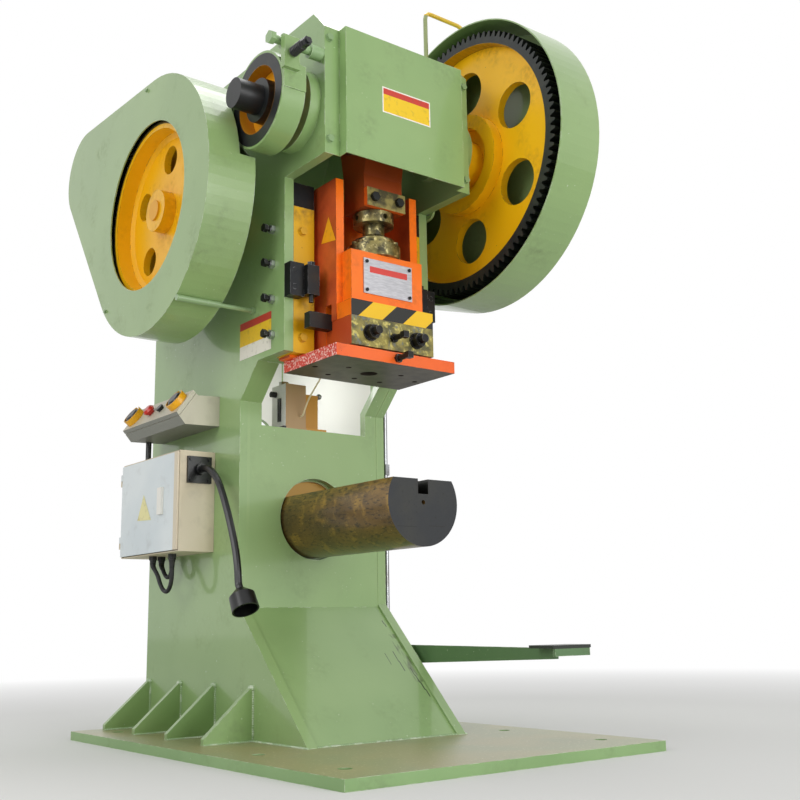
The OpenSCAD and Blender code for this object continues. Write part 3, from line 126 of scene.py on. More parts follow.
def cable(name, x, loop):
    route = [(x, y / 1000, z / 1000) for y, z in rounded(loop)]
    curve = bpy.data.curves.new(name, "CURVE")
    curve.dimensions = "3D"
    curve.bevel_depth = CABLE_RADIUS
    curve.bevel_resolution = 5
    curve.use_fill_caps = True
    spline = curve.splines.new("POLY")
    spline.points.add(len(route) - 1)
    for point, spot in zip(spline.points, route):
        point.co = (*spot, 1)
    spline.use_smooth = True
    item = put(name, curve)
    return item, route


# the middle of each cable as y and z, in millimetres; x is the same all along
NEAR_LOOP = [(482, 530.6), (482, 518), (485, 500), (495, 488), (511, 484), (528, 492),
             (545, 510), (555, 522), (556, 530.6)]
FAR_LOOP = [(407, 530.6), (407, 518), (406, 492), (411, 464), (424, 445), (442, 438),
            (465, 445), (486, 464), (504, 488), (526, 507), (539, 519), (540, 530.6)]
near_flex, near_route = cable("near_flex", -0.300, NEAR_LOOP)
far_flex, far_route = cable("far_flex", -0.336, FAR_LOOP)

# %% [markdown]
# Colours are easiest to write as the hex values that a paint chart gives. The renderer
# works in linear light, so one function does the change. A second small function adds a
# node to a material, with its settings, its fixed numbers and its links in one call.
# The others mix colours, and mark places by limits in metres or by the way a face looks.

# %% Colour and node helpers
def colour(text):
    parts = [int(text[i:i + 2], 16) / 255 for i in (1, 3, 5)]
    return [p / 12.92 if p <= 0.04045 else ((p + 0.055) / 1.055) ** 2.4
            for p in parts] + [1.0]


def add(tree, kind, inputs=None, **settings):
    node = tree.nodes.new(kind)
    for name, value in settings.items():
        setattr(node, name, value)
    for key, value in (inputs or {}).items():
        if isinstance(value, bpy.types.NodeSocket):
            tree.links.new(value, node.inputs[key])
        else:
            node.inputs[key].default_value = value
    return node


def begin(name, roughness=0.5, metallic=0.0, coat=0.0):
    material = bpy.data.materials.new(name)
    material.use_nodes = True
    tree = material.node_tree
    tree.nodes.clear()
    shader = add(tree, "ShaderNodeBsdfPrincipled",
                 {"Roughness": roughness, "Metallic": metallic, "Coat Weight": coat})
    add(tree, "ShaderNodeOutputMaterial", {"Surface": shader.outputs[0]})
    spot = add(tree, "ShaderNodeTexCoord").outputs["Object"]
    return material, tree, shader, spot


def parts_of(material):
    """The node tree of a finished material, its shader and its object coordinates."""
    tree = material.node_tree
    shader = next(n for n in tree.nodes if n.type == "BSDF_PRINCIPLED")
    spot = next(n for n in tree.nodes if n.type == "TEX_COORD").outputs["Object"]
    return tree, shader, spot


def both(tree, a, b, operation="MULTIPLY"):
    return add(tree, "ShaderNodeMath", {0: a, 1: b}, operation=operation).outputs[0]


def layer(tree, amount, under, over):
    """Mix two colours, each a hex value or a node's output."""
    under, over = (colour(c) if isinstance(c, str) else c for c in (under, over))
    return add(tree, "ShaderNodeMix", {0: amount, 6: under, 7: over},
               data_type="RGBA").outputs[2]


def zone(tree, spot, axis, low=-9.0, high=9.0):
    """1 where the coordinate on this axis lies between the two limits, in metres."""
    value = add(tree, "ShaderNodeSeparateXYZ", {0: spot}).outputs[axis]
    return both(tree, both(tree, value, low, "GREATER_THAN"),
                both(tree, value, high, "LESS_THAN"))


def patch(tree, spot, low_x, high_x, low_z, high_z):
    """1 inside a rectangle of x and z, seen from the front."""
    return both(tree, zone(tree, spot, 0, low_x, high_x),
                zone(tree, spot, 2, low_z, high_z))


def facing(tree, axis, low=-2.0, high=2.0):
    """1 on the faces whose normal on this axis lies between the two limits."""
    normal = add(tree, "ShaderNodeNewGeometry").outputs["True Normal"]
    return zone(tree, normal, axis, low, high)


def retouch(tree, shader, amount, shade, roughness=None, metallic=None):
    """Lay another colour over the finished one, where amount is 1."""
    old = shader.inputs["Base Color"].links[0].from_socket
    tree.links.new(layer(tree, amount, old, shade), shader.inputs["Base Color"])
    for key, value in (("Roughness", roughness), ("Metallic", metallic)):
        if value is None:
            continue
        links = shader.inputs[key].links
        before = links[0].from_socket if links else shader.inputs[key].default_value
        blend = add(tree, "ShaderNodeMix", {0: amount, 2: before, 3: value},
                    data_type="FLOAT")
        tree.links.new(blend.outputs[0], shader.inputs[key])


print("helpers ready, linear value of a mid green:", colour("#92B07C")[:3])

# %% [markdown]
# Real surfaces are never one flat tone. Three patterns do most of the work on this press.
# Clouds are soft patches of tone, and with close limits they become small sharp specks,
# such as chips and dust. Wear finds the edges of a solid, because the average normal near
# an edge differs from the true one. Relief dents the skin. Sizes are in millimetres.

# %% Patterns that several finishes share
def clouds(tree, spot, size_mm, low=0.4, high=0.6, detail=3.0, stretch=(1, 1, 1)):
    scaled = add(tree, "ShaderNodeMapping", {"Vector": spot, "Scale": stretch})
    noise = add(tree, "ShaderNodeTexNoise", {"Vector": scaled.outputs[0],
                "Scale": 1000 / size_mm, "Detail": detail})
    return add(tree, "ShaderNodeMapRange", {"Value": noise.outputs[0],
               "From Min": low, "From Max": high}).outputs[0]


def wear(tree, spot, radius_mm, patch_mm):
    soft = add(tree, "ShaderNodeBevel", {"Radius": radius_mm / 1000}, samples=4)
    flat = add(tree, "ShaderNodeNewGeometry")
    same = add(tree, "ShaderNodeVectorMath",
               {0: soft.outputs[0], 1: flat.outputs["True Normal"]},
               operation="DOT_PRODUCT")
    edge = add(tree, "ShaderNodeMapRange", {"Value": same.outputs["Value"],
               "From Min": 0.985, "From Max": 0.93}).outputs[0]
    return both(tree, edge, clouds(tree, spot, patch_mm, 0.48, 0.56, 5))


def relief(tree, shader, height, distance, strength):
    """Dents as deep as the distance, in metres."""
    bump = add(tree, "ShaderNodeBump", {"Height": height, "Distance": distance,
               "Strength": strength})
    tree.links.new(bump.outputs[0], shader.inputs["Normal"])


print("patterns ready")

# %% [markdown]
# The frame is welded plate under a sprayed alkyd machine enamel. Sprayed enamel has the
# fine dimpled skin that painters call orange peel, a soft shine, cloudy tone where it went
# on thinner, grime that gathers in patches and pale nicks along its corners. Khaki dust
# lies on the base plate, and the sloping foot has scratches near its right edge.
# Texture photographs could give this too, but noise has no seams and no resolution.

# %% Sprayed machine enamel
# each scratch: lowest x, highest x, lowest z, highest z, in metres
SCRATCHES = [(0.2135, 0.2165, 0.331, 0.341), (0.2160, 0.2190, 0.323, 0.332),
             (0.1525, 0.1543, 0.215, 0.247), (0.1848, 0.1875, 0.222, 0.251),
             (0.1868, 0.1896, 0.196, 0.224), (0.2125, 0.2155, 0.182, 0.205),
             (0.2148, 0.2182, 0.163, 0.184), (0.2178, 0.2215, 0.143, 0.165),
             (0.2212, 0.2245, 0.125, 0.145)]
# the hollow of the frame, in metres: half its width, front, back, bottom and top
HOLLOW_X, HOLLOW_FRONT, HOLLOW_BACK = 0.2325, 0.162, 0.7055
HOLLOW_BOTTOM, HOLLOW_TOP = 0.03, 1.60
# the strip of x where front and side plate are ground flush, and the foot's rubbed place
JOINT_FROM, JOINT_TO = 0.227, 0.237
RUBBED = (0.205, 0.2315, 0.165, 0.30)


def sprayed_enamel(name, base, thin, nick="#C9D6B8", roughness=0.32, grime="#4A4630",
                   grime_amount=0.35, coat=0.0):
    material, tree, shader, spot = begin(name, coat=coat)
    shader.inputs["Coat Roughness"].default_value = 0.07
    tone = layer(tree, clouds(tree, spot, 420, 0.38, 0.62), base, thin)
    dirt = both(tree, clouds(tree, spot, 130, 0.52, 0.75, 6),
                clouds(tree, spot, 16, 0.35, 0.7, 4))
    tone = layer(tree, both(tree, dirt, grime_amount), tone, grime)
    chip = both(tree, clouds(tree, spot, 7, 0.71, 0.74), clouds(tree, spot, 150, 0.5, 0.56))
    mark = both(tree, chip, wear(tree, spot, 2.5, 30), "MAXIMUM")
    tone = layer(tree, mark, tone, nick)
    tree.links.new(tone, shader.inputs["Base Color"])
    gloss = add(tree, "ShaderNodeMapRange", {"Value": dirt, "To Min": roughness,
                "To Max": roughness + 0.25}).outputs[0]
    tree.links.new(gloss, shader.inputs["Roughness"])
    # orange peel of about 4 mm, drawn a little coarser than life so that it shows
    relief(tree, shader, clouds(tree, spot, 5, 0.3, 0.7, 2), 0.0002, 0.5)
    return material, tree, shader, spot


def frame_enamel():
    """Green outside, painted reflection in the hollow, a rubbed and scratched sloping foot.
    """
    material, tree, shader, spot = sprayed_enamel("frame_green_enamel", "#93B074",
                                                  "#89A86C", grime_amount=0.22, coat=0.6)
    # the hollow between the plates is painted near-white, a painted reflection of the
    # daylight in it
    inside = both(tree, zone(tree, spot, 0, -HOLLOW_X, HOLLOW_X),
                  zone(tree, spot, 1, HOLLOW_FRONT, HOLLOW_BACK))
    inside = both(tree, inside, zone(tree, spot, 2, HOLLOW_BOTTOM, HOLLOW_TOP))
    retouch(tree, shader, inside, "#ECECE6")
    joint = both(tree, zone(tree, spot, 0, -JOINT_TO, -JOINT_FROM),
                 zone(tree, spot, 0, JOINT_FROM, JOINT_TO), "MAXIMUM")
    retouch(tree, shader, both(tree, joint, facing(tree, 1, high=-0.3)), "#91AE72")
    smear = both(tree, clouds(tree, spot, 26, 0.42, 0.6, 5, (3, 1, 0.4)),
                 patch(tree, spot, *RUBBED))
    retouch(tree, shader, smear, "#66784E")
    for limits in SCRATCHES:
        scratch = both(tree, patch(tree, spot, *limits), facing(tree, 1, high=-0.3))
        retouch(tree, shader, scratch, "#2B2E22")
    return material


green = sprayed_enamel("green_machine_enamel", "#90AE70", "#86A668", coat=0.35)[0]
frame_green = frame_enamel()
guard_green = sprayed_enamel("guard_green_enamel", "#90AC70", "#88A46A", "#C2CFB8",
                             coat=0.45)[0]
# the rod's enamel is dark brown-red under heavy grime: partly grime, partly a painted shade
# for the shadow it sits in under the cover
rod_shaded_orange = sprayed_enamel("orange_casting_shaded_enamel", "#A8481A", "#8A3A14", "#5A3A20",
                            grime="#3A200E", grime_amount=0.7)[0]
# the beads are a lighter green than the frame, a painted highlight on their crests, with
# pale wear nicks
weld_green = sprayed_enamel("weld_enamel", "#9CBA88", "#94B080", "#D6E2C8", 0.22,
                            coat=0.8)[0]
gold = sprayed_enamel("gold_enamel", "#E4B20A", "#CC9A08", "#6A5A20",
                      grime="#6A4E10", grime_amount=0.7)[0]
yellow = sprayed_enamel("yellow_enamel", "#F2B20A", "#E6A208", "#7A5A10",
                        grime="#5A4008", grime_amount=0.6)[0]
motor_grey = sprayed_enamel("motor_grey_enamel", "#6F7F74", "#66766C", "#B0B8B0")[0]
base_finish, tree, shader, spot = sprayed_enamel("base_enamel", "#8FAE78", "#86A670",
                                                 roughness=0.3)
shader.inputs["Specular IOR Level"].default_value = 0.3
dust = layer(tree, clouds(tree, spot, 260, 0.4, 0.6, 4), "#A09A6E", "#93976E")
dust = layer(tree, clouds(tree, spot, 9, 0.62, 0.7, 4), dust, "#C9C3A2")
retouch(tree, shader, facing(tree, 2, low=0.8), dust, 0.32)
print("enamels:", [m.name for m in bpy.data.materials])

# %% [markdown]
# Powder coat on the thin sheet of the switch cabinet is melted on as a dry powder. It is
# more even than sprayed enamel, with a fine close texture and a flatter shine. Parts of
# other colours, such as black glands, are touched up by the place where they sit.

# %% Powder coat
def powder_coat(name, base, shade):
    material, tree, shader, spot = begin(name, 0.45)
    tone = layer(tree, clouds(tree, spot, 260, 0.4, 0.65), base, shade)
    smudge = both(tree, clouds(tree, spot, 45, 0.55, 0.8, 6), 0.22)
    tone = layer(tree, smudge, tone, "#7A7466")
    tree.links.new(tone, shader.inputs["Base Color"])
    relief(tree, shader, clouds(tree, spot, 1.6, 0.3, 0.7, 2), 0.00008, 0.6)
    return material


cream = powder_coat("cream_powder_coat", "#D8CCB4", "#CEC0A4")
pale_blue = powder_coat("pale_powder_coat", "#E0E7E8", "#D4DDE0")
lubricator_cream = powder_coat("lubricator_enamel", "#DDD6C0", "#CFC7AE")
console_beige = powder_coat("console_powder_coat", "#C6C1AE", "#BBB6A2")


def touch_up(material, patches):
    """patches: list of (axis, low, high, colour) zones painted over a finish."""
    tree, shader, spot = parts_of(material)
    for axis, low, high, shade in patches:
        retouch(tree, shader, zone(tree, spot, axis, low, high), shade)


# black glands under the cabinet, the door's pale latch and the cream strip at its edge
touch_up(cream, [(2, 0.0, 0.5488, "#1B1D1E")])
touch_up(pale_blue, [(0, -0.60, -0.3834, "#ECEAE2"), (1, 0.20, 0.3112, "#D8CCB4")])
# painted light and shade by the way a face points: the lubricator's left face is white as
# painted light, its front face tan as painted shade, the console's underside darker grey as
# painted shade
for finish, axis, shade in ((lubricator_cream, 0, "#FAFAF6"),
                            (lubricator_cream, 1, "#A98C62"),
                            (console_beige, 2, "#84857C")):
    tree, shader, _ = parts_of(finish)
    retouch(tree, shader, facing(tree, axis, high=-0.5), shade)
# the lubricator's back plate on the right, and its black sight glass and knob on the left
touch_up(lubricator_cream, [(0, -0.031, 0.10, "#C08A2C"), (0, -0.20, -0.1031, "#1B1D1E")])
print("cabinet finishes ready")

# %% [markdown]
# Bare steel on this press is either ground, with fine straight scratches, or blackened by
# heat and oil. A ground face is drawn with noise that is stretched along the grinding
# direction, and a blackened one with a dark base and brighter worn corners.

# %% Bare and blackened metals
def ground_steel(name, base="#A9ABAD", stain="#7E8082", roughness=0.32):
    material, tree, shader, spot = begin(name, roughness, 1.0)
    scratch = clouds(tree, spot, 14, 0.35, 0.65, 5, (1, 14, 14))
    tone = layer(tree, scratch, base, stain)
    film = clouds(tree, spot, 60, 0.5, 0.75, 5)
    tone = layer(tree, both(tree, film, 0.55), tone, "#4A3A20")
    tree.links.new(tone, shader.inputs["Base Color"])
    relief(tree, shader, scratch, 0.00005, 0.5)
    return material


def black_oxide(name):
    material, tree, shader, spot = begin(name, 0.38, 0.6)
    tone = layer(tree, clouds(tree, spot, 40, 0.4, 0.7, 5), "#1C1E20", "#2A2620")
    tone = layer(tree, wear(tree, spot, 1.5, 14), tone, "#8A8C8E")
    tree.links.new(tone, shader.inputs["Base Color"])
    relief(tree, shader, clouds(tree, spot, 3, 0.3, 0.7, 3), 0.0001, 0.5)
    return material


steel = ground_steel("ground_steel")
dark_steel = black_oxide("black_oxide_steel")
crank_steel = ground_steel("crank_steel")
shaft_steel = ground_steel("shaft_steel")
bolt_steel = black_oxide("bolt_steel")
# the shaft ends on the belt side are painted, black on the crank, yellow on the pinion
for material, painted_to, shade in ((crank_steel, -0.32, "#101214"),
                                    (shaft_steel, -0.36, "#E0A010")):
    tree, shader, spot = parts_of(material)
    retouch(tree, shader, zone(tree, spot, 0, -0.60, painted_to), shade, 0.4, 0.0)
# the frame's bolts: bare between the side plates, gold on the gibs, green on the cover
tree, shader, spot = parts_of(bolt_steel)
silver = both(tree, zone(tree, spot, 0, -0.2755, 0.2755), zone(tree, spot, 1, -0.20, 0.3))
retouch(tree, shader, silver, "#B9BBBC", 0.35, 1.0)
gib_bolts = both(tree, zone(tree, spot, 0, -0.232, 0.232), zone(tree, spot, 1, -0.2, -0.1))
retouch(tree, shader, gib_bolts, "#C99A1C", 0.4, 0.2)
retouch(tree, shader, zone(tree, spot, 1, -0.9, -0.205), "#86A272", 0.35, 0.0)
bronze = ground_steel("turned_bronze", "#B8893F", "#8F6A30", 0.35)
print("metals ready")

# %% [markdown]
# The horn is a turned bar of cast iron that is always wet with grease. The grease is
# brown-gold and streaked round the bar, with a painted highlight along its top, and the
# sawn end is dark blue-grey metal with two shallow cuts and the centre mark of the lathe.

# %% The greasy horn
# in metres: the y that parts end and step, then rectangles of x and z as for scratches
END_UP_TO, STEP_FROM, KEY_UP_TO = -0.38, -0.1, -0.2
KEY_SLOT = (-0.022, 0.022, 0.668, 0.7065)
END_MARKS = [(-0.0886, -0.0234, 0.5781, 0.5804), (0.0166, 0.0726, 0.5820, 0.5844),
             (-0.001, 0.007, 0.638, 0.646)]


def greased_horn():
    material, tree, shader, spot = begin("greased_cast_iron", 0.3, 0.3)
    shader.inputs["Coat Weight"].default_value = 0.2
    shader.inputs["Coat Roughness"].default_value = 0.12
    tone = layer(tree, clouds(tree, spot, 190, 0.38, 0.62, 6, (1, 0.8, 1)),
                 "#745827", "#4A3D24")
    tone = layer(tree, clouds(tree, spot, 70, 0.54, 0.74, 6, (1, 1.4, 1)), tone, "#B08A38")
    # a painted highlight along the top of the bar, broken up by the streaks
    up = add(tree, "ShaderNodeSeparateXYZ",
             {0: add(tree, "ShaderNodeNewGeometry").outputs["True Normal"]}).outputs[2]
    top_highlight = add(tree, "ShaderNodeMapRange", {"Value": up, "From Min": -0.1, "From Max": 0.9,
              "To Max": 0.75}).outputs[0]
    streaks = clouds(tree, spot, 22, 0.36, 0.6, 6, (1, 0.5, 2.4))
    tone = layer(tree, both(tree, top_highlight, streaks), tone, "#B58C3C")
    tone = layer(tree, clouds(tree, spot, 11, 0.52, 0.66, 6, (1, 0.6, 2)), tone, "#42341C")
    tone = layer(tree, clouds(tree, spot, 4, 0.64, 0.74, 4), tone, "#A8905A")
    tree.links.new(tone, shader.inputs["Base Color"])
    # its recessed step keeps the gold of the grease, and only the sawn end is dark
    front = facing(tree, 1, high=-0.9)
    retouch(tree, shader, both(tree, front, zone(tree, spot, 1, STEP_FROM)), "#A07A2C")
    end = both(tree, front, zone(tree, spot, 1, high=END_UP_TO))
    iron = layer(tree, clouds(tree, spot, 80, 0.4, 0.65, 5), "#14181C", "#22231F")
    iron = layer(tree, clouds(tree, spot, 9, 0.6, 0.68, 5), iron, "#08090A")
    retouch(tree, shader, end, iron, 0.6, 0.1)
    # the key slot is painted near-black, a painted shade in the notch
    slot = both(tree, patch(tree, spot, *KEY_SLOT), zone(tree, spot, 1, high=KEY_UP_TO))
    retouch(tree, shader, slot, "#1A1A18")
    for limits in END_MARKS:
        retouch(tree, shader, both(tree, patch(tree, spot, *limits), end), "#050606")
    turned = add(tree, "ShaderNodeTexWave", {"Vector": spot, "Scale": 90.0,
                 "Distortion": 1.0}, bands_direction="Y")
    relief(tree, shader, turned.outputs[1], 0.00008, 0.4)
    return material


horn_finish = greased_horn()
print("horn finish ready")

# %% [markdown]
# The bull gear is painted yellow on its web and left black and greasy on its toothed rim.
# The border is a circle round the crank axis, so the material measures how far a point is
# from that axis. The brake drum uses the same measure, black on rim and hub and yellow
# between them, and so does the flywheel, whose outer rim is a dark olive-brown.

# %% Finishes that change with radius
# one point on each axis, in metres
CRANK = (0.0, -0.180, 1.768)
SHAFT = (0.0, 0.285, 1.57361)


def from_axis(tree, spot, centre):
    offset = add(tree, "ShaderNodeVectorMath", {0: spot, 1: centre},
                 operation="SUBTRACT").outputs[0]
    flat = add(tree, "ShaderNodeVectorMath", {0: offset, 1: (0, 1, 1)},
               operation="MULTIPLY").outputs[0]
    return add(tree, "ShaderNodeVectorMath", {0: flat}, operation="LENGTH").outputs["Value"]


def ringed(name, inside, outside, centre, edge_m, rough_out, hub_m=0.0):
    material, tree, shader, spot = sprayed_enamel(name, inside, inside, "#6A5A20",
                                                  grime="#8A5A08", grime_amount=0.6)
    radius = from_axis(tree, spot, centre)
    soft_m = 0.0008
    rim = add(tree, "ShaderNodeMapRange", {"Value": radius, "From Min": edge_m - soft_m,
              "From Max": edge_m + soft_m}).outputs[0]
    rim = both(tree, rim, both(tree, radius, hub_m, "LESS_THAN"), "MAXIMUM")
    grease = layer(tree, clouds(tree, spot, 30, 0.45, 0.7, 5), outside, "#24261F")
    retouch(tree, shader, rim, grease, rough_out)
    return material


gear_finish = ringed("gear_enamel_and_grease", "#FFC40A", "#0C1311", CRANK, 0.385, 0.5)
drum_finish = ringed("drum_black_and_yellow", "#F4A81C", "#15181A", CRANK, 0.0972, 0.4,
                     hub_m=0.0635)
flywheel_finish = ringed("flywheel_yellow", "#F4B80A", "#5A4A20", SHAFT, 0.262, 0.35)
print("ringed finishes ready")

# %% [markdown]
# The ram is a casting in a loud orange enamel. Its flanks are red-brown, a painted shade,
# and a band of black and yellow slashes marks its lower edge. The slashes are a saw wave
# along x and z together, kept to one band of height.

# %% The ram's orange enamel and its slashed band
# in metres: the band's two edges, then the height, shift and pitch of the slashes
BAND_LOW, BAND_HIGH = 1.1675, 1.2152
SLASH_HEIGHT, SLASH_SHIFT, SLASH_PITCH = 1.178, 0.110, 0.156
# how far a slash leans to the side for each metre up, and its share of yellow
SLASH_LEAN, SLASH_YELLOW = 1.1, 0.53
# only the flanks behind this y, in metres, get the painted shade
FLANK_SHADE_FROM = -0.20


def ram_orange():
    material, tree, shader, spot = sprayed_enamel(
        "orange_ram_enamel", "#FF7A12", "#F4700E", "#7A3A10", 0.28,
        grime="#6A3010", grime_amount=0.55)
    # both flanks are painted red-brown, a painted shade for the sides away from the light
    flank = both(tree, facing(tree, 0, high=-0.6), facing(tree, 0, low=0.6), "MAXIMUM")
    flank = both(tree, flank, zone(tree, spot, 1, low=FLANK_SHADE_FROM))
    flank_shade = layer(tree, clouds(tree, spot, 90, 0.35, 0.65, 5), "#CC5A30", "#9A3A22")
    retouch(tree, shader, both(tree, flank, 0.9), flank_shade)
    at = add(tree, "ShaderNodeSeparateXYZ", {0: spot})
    x, z = at.outputs[0], at.outputs[2]
    lean = both(tree, both(tree, z, SLASH_HEIGHT, "SUBTRACT"), SLASH_LEAN)
    slant = both(tree, x, lean, "SUBTRACT")
    saw = both(tree, both(tree, slant, SLASH_SHIFT, "ADD"), 1 / SLASH_PITCH)
    saw = both(tree, both(tree, saw, 0.0, "FRACT"), SLASH_YELLOW, "GREATER_THAN")
    stripes = layer(tree, saw, "#F2C21A", "#15150F")
    front = both(tree, zone(tree, spot, 1, high=-0.235), facing(tree, 1, high=-0.5))
    band = both(tree, zone(tree, spot, 2, BAND_LOW, BAND_HIGH), front)
    retouch(tree, shader, band, stripes)
    return material


ram_finish = ram_orange()
print("ram finish ready")

# %% [markdown]
# The plate bolted under the ram is the same orange. Its left end is redder and speckled
# with pale dust. Its machined underside is bare and dark, partly greasy steel and partly a
# painted shade, and the walls of its bores are painted dark, a painted shade in the holes.

# %% The ram plate
def plate_red():
    material, tree, shader, spot = sprayed_enamel(
        "red_orange_enamel", "#F4691E", "#E85A18", "#6A2A18", 0.34,
        grime="#5A2410", grime_amount=0.6)
    end = zone(tree, spot, 0, high=-0.2068)
    speckled = layer(tree, clouds(tree, spot, 6, 0.52, 0.6, 4), "#D23A2A", "#F0C8BE")
    retouch(tree, shader, end, speckled)
    # the underside is greasy bare steel, painted darker still as a painted shade
    bare = layer(tree, clouds(tree, spot, 40, 0.4, 0.65, 5), "#5A5348", "#463F36")
    retouch(tree, shader, facing(tree, 2, high=-0.8), bare, 0.45, 0.3)
    # the bore walls are painted dark, a painted shade in the holes
    bore = both(tree, zone(tree, spot, 0, -0.2, 0.2), zone(tree, spot, 1, -0.28, -0.03))
    retouch(tree, shader, both(tree, bore, facing(tree, 2, -0.8, 0.8)), "#2A2118", 0.5)
    return material


plate_finish = plate_red()
print("plate finish ready")

# %% [markdown]
# The block that clamps the tool shank is never painted. It is a dull olive casting under
# old grease, with lighter smears where hands and rags reach it and orange paint on its
# two ends, in a darker red-orange that is partly a painted shade. The ball screw is greasy
# metal, and the front of the rod's cap is mottled.

# %% The clamp block
def greasy_block():
    material, tree, shader, spot = begin("greasy_olive_casting", 0.42, 0.25)
    tone = layer(tree, clouds(tree, spot, 45, 0.4, 0.6, 6), "#9A8E48", "#55522F")
    tone = layer(tree, clouds(tree, spot, 16, 0.54, 0.66, 5), tone, "#CDC06A")
    tone = layer(tree, clouds(tree, spot, 12, 0.58, 0.68, 5, (1, 1, 0.6)), tone, "#6E7268")
    tree.links.new(tone, shader.inputs["Base Color"])
    relief(tree, shader, clouds(tree, spot, 4, 0.3, 0.7, 4), 0.0003, 0.6)
    # both ends are real orange paint in a darker red-orange tone, partly a painted shade
    ends = both(tree, facing(tree, 0, high=-0.8), facing(tree, 0, low=0.8), "MAXIMUM")
    retouch(tree, shader, ends, "#B8481C", 0.35, 0.0)
    return material


def greasy_metal():
    material, tree, shader, spot = begin("greasy_turned_metal", 0.32, 0.6)
    tone = layer(tree, clouds(tree, spot, 30, 0.38, 0.62, 6), "#8E8350", "#3C3826")
    tone = layer(tree, clouds(tree, spot, 12, 0.56, 0.72, 5), tone, "#CBBE86")
    tree.links.new(tone, shader.inputs["Base Color"])
    relief(tree, shader, clouds(tree, spot, 3, 0.3, 0.7, 4), 0.0002, 0.5)
    return material


clamp_finish = greasy_block()
screw_finish = greasy_metal()
cap_finish, tree, shader, spot = sprayed_enamel(
    "rod_cap_enamel", "#EE6A1C", "#D95A18", "#5A3A20", grime="#4A2A10", grime_amount=0.7)
mottled = layer(tree, clouds(tree, spot, 26, 0.38, 0.62, 6), "#93864A", "#4A4428")
retouch(tree, shader, facing(tree, 1, high=-0.8), mottled, 0.4, 0.3)
# the bolt heads low on the cap's front are dark
HEAD_DEPTH, HEAD_ZONE = 0.0119, 0.056
cap_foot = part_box("rod_cap")[0].z
head_top = cap_foot + HEAD_ZONE
bolt_end = min(v.co.y for v in nodes["rod_cap"].data.vertices if v.co.z < head_top)
bolts = both(tree, zone(tree, spot, 1, bolt_end - 0.001, bolt_end + HEAD_DEPTH),
             zone(tree, spot, 2, cap_foot, head_top))
retouch(tree, shader, bolts, "#1C1E1C", 0.4, 0.4)
print("clamp finish ready")

# %% [markdown]
# Rubber and plastic make up the rest. Belt and cable rubber is a soft black with almost no
# shine. Moulded plastic buttons are smoother, with a broad highlight and faint scuffs.
# The lamp's black enamel is close enough to plastic to be made in the same way.

# %% Rubber and moulded plastic
def moulded(name, base, scuff, roughness, grain_mm):
    material, tree, shader, spot = begin(name, roughness)
    tone = layer(tree, clouds(tree, spot, 18, 0.55, 0.8, 6), base, scuff)
    tree.links.new(tone, shader.inputs["Base Color"])
    relief(tree, shader, clouds(tree, spot, grain_mm, 0.3, 0.7, 2), 0.00005, 0.5)
    return material


rubber = moulded("belt_rubber", "#17181A", "#34342F", 0.6, 2)
black_plastic = moulded("black_moulded_plastic", "#141516", "#3A3A3A", 0.35, 1.2)
lamp_black = moulded("lamp_black_enamel", "#090A0B", "#1A1B1C", 0.3, 1.2)
red_plastic = moulded("red_moulded_plastic", "#C8281C", "#9A2018", 0.28, 1.2)
nylon = moulded("oil_line_nylon", "#D9CFA8", "#B09A60", 0.3, 1.2)
print("rubber and plastic ready")

# %% [markdown]
# A bare aluminium plate is riveted to the ram's front block. It is rolled sheet, so its
# grain runs one way. A painted band crosses its middle, and its four rivets are black.

# %% The riveted aluminium plate
def rolled_aluminium():
    material, tree, shader, spot = begin("rolled_aluminium", 0.38, 0.55)
    tone = layer(tree, clouds(tree, spot, 20, 0.35, 0.65, 5, (1, 1, 12)),
                 "#C6C6CA", "#ABABB0")
    low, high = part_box("ram_cover")
    wide = high.x - low.x
    band_low, band_high, rivets_to = 1.3090, 1.3275, -0.2495
    band = patch(tree, spot, low.x + 0.12 * wide, high.x - 0.1 * wide, band_low,
                 band_high)
    tone = layer(tree, band, tone, "#CC4A44")
    tree.links.new(tone, shader.inputs["Base Color"])
    retouch(tree, shader, zone(tree, spot, 1, -0.30, rivets_to), "#1B1D1E")
    return material


plate_aluminium = rolled_aluminium()
print("aluminium ready")

# %% [markdown]
# Now every solid gets its finish. A solid's mesh isn't touched: only its material slots
# change. A few finishes still get a patch of their own first, on anchor, pedal and stays.
# The two drawn cables take the place of the solid ones, in the same rubber, on the frame.

# %% Paint the solids
anchor_finish = sprayed_enamel("anchor_enamel", "#92B07C", "#88A874", coat=0.35)[0]
touch_up(anchor_finish, [(2, 1.80, 1.874, "#1B1D1E")])
stay_finish = sprayed_enamel("stay_enamel", "#8CA878", "#84A072", "#C2CFB8", coat=0.45)[0]
# the upright bar is khaki above the head, and its bent top is yellow
STAY_KHAKI, STAY_BAR = 2.042, 0.019
stay_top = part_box("guard_stays")[1].z
touch_up(stay_finish, [(2, STAY_KHAKI, 3.0, "#8F9A66"),
                       (2, stay_top - STAY_BAR, 3.0, "#D9B32A")])
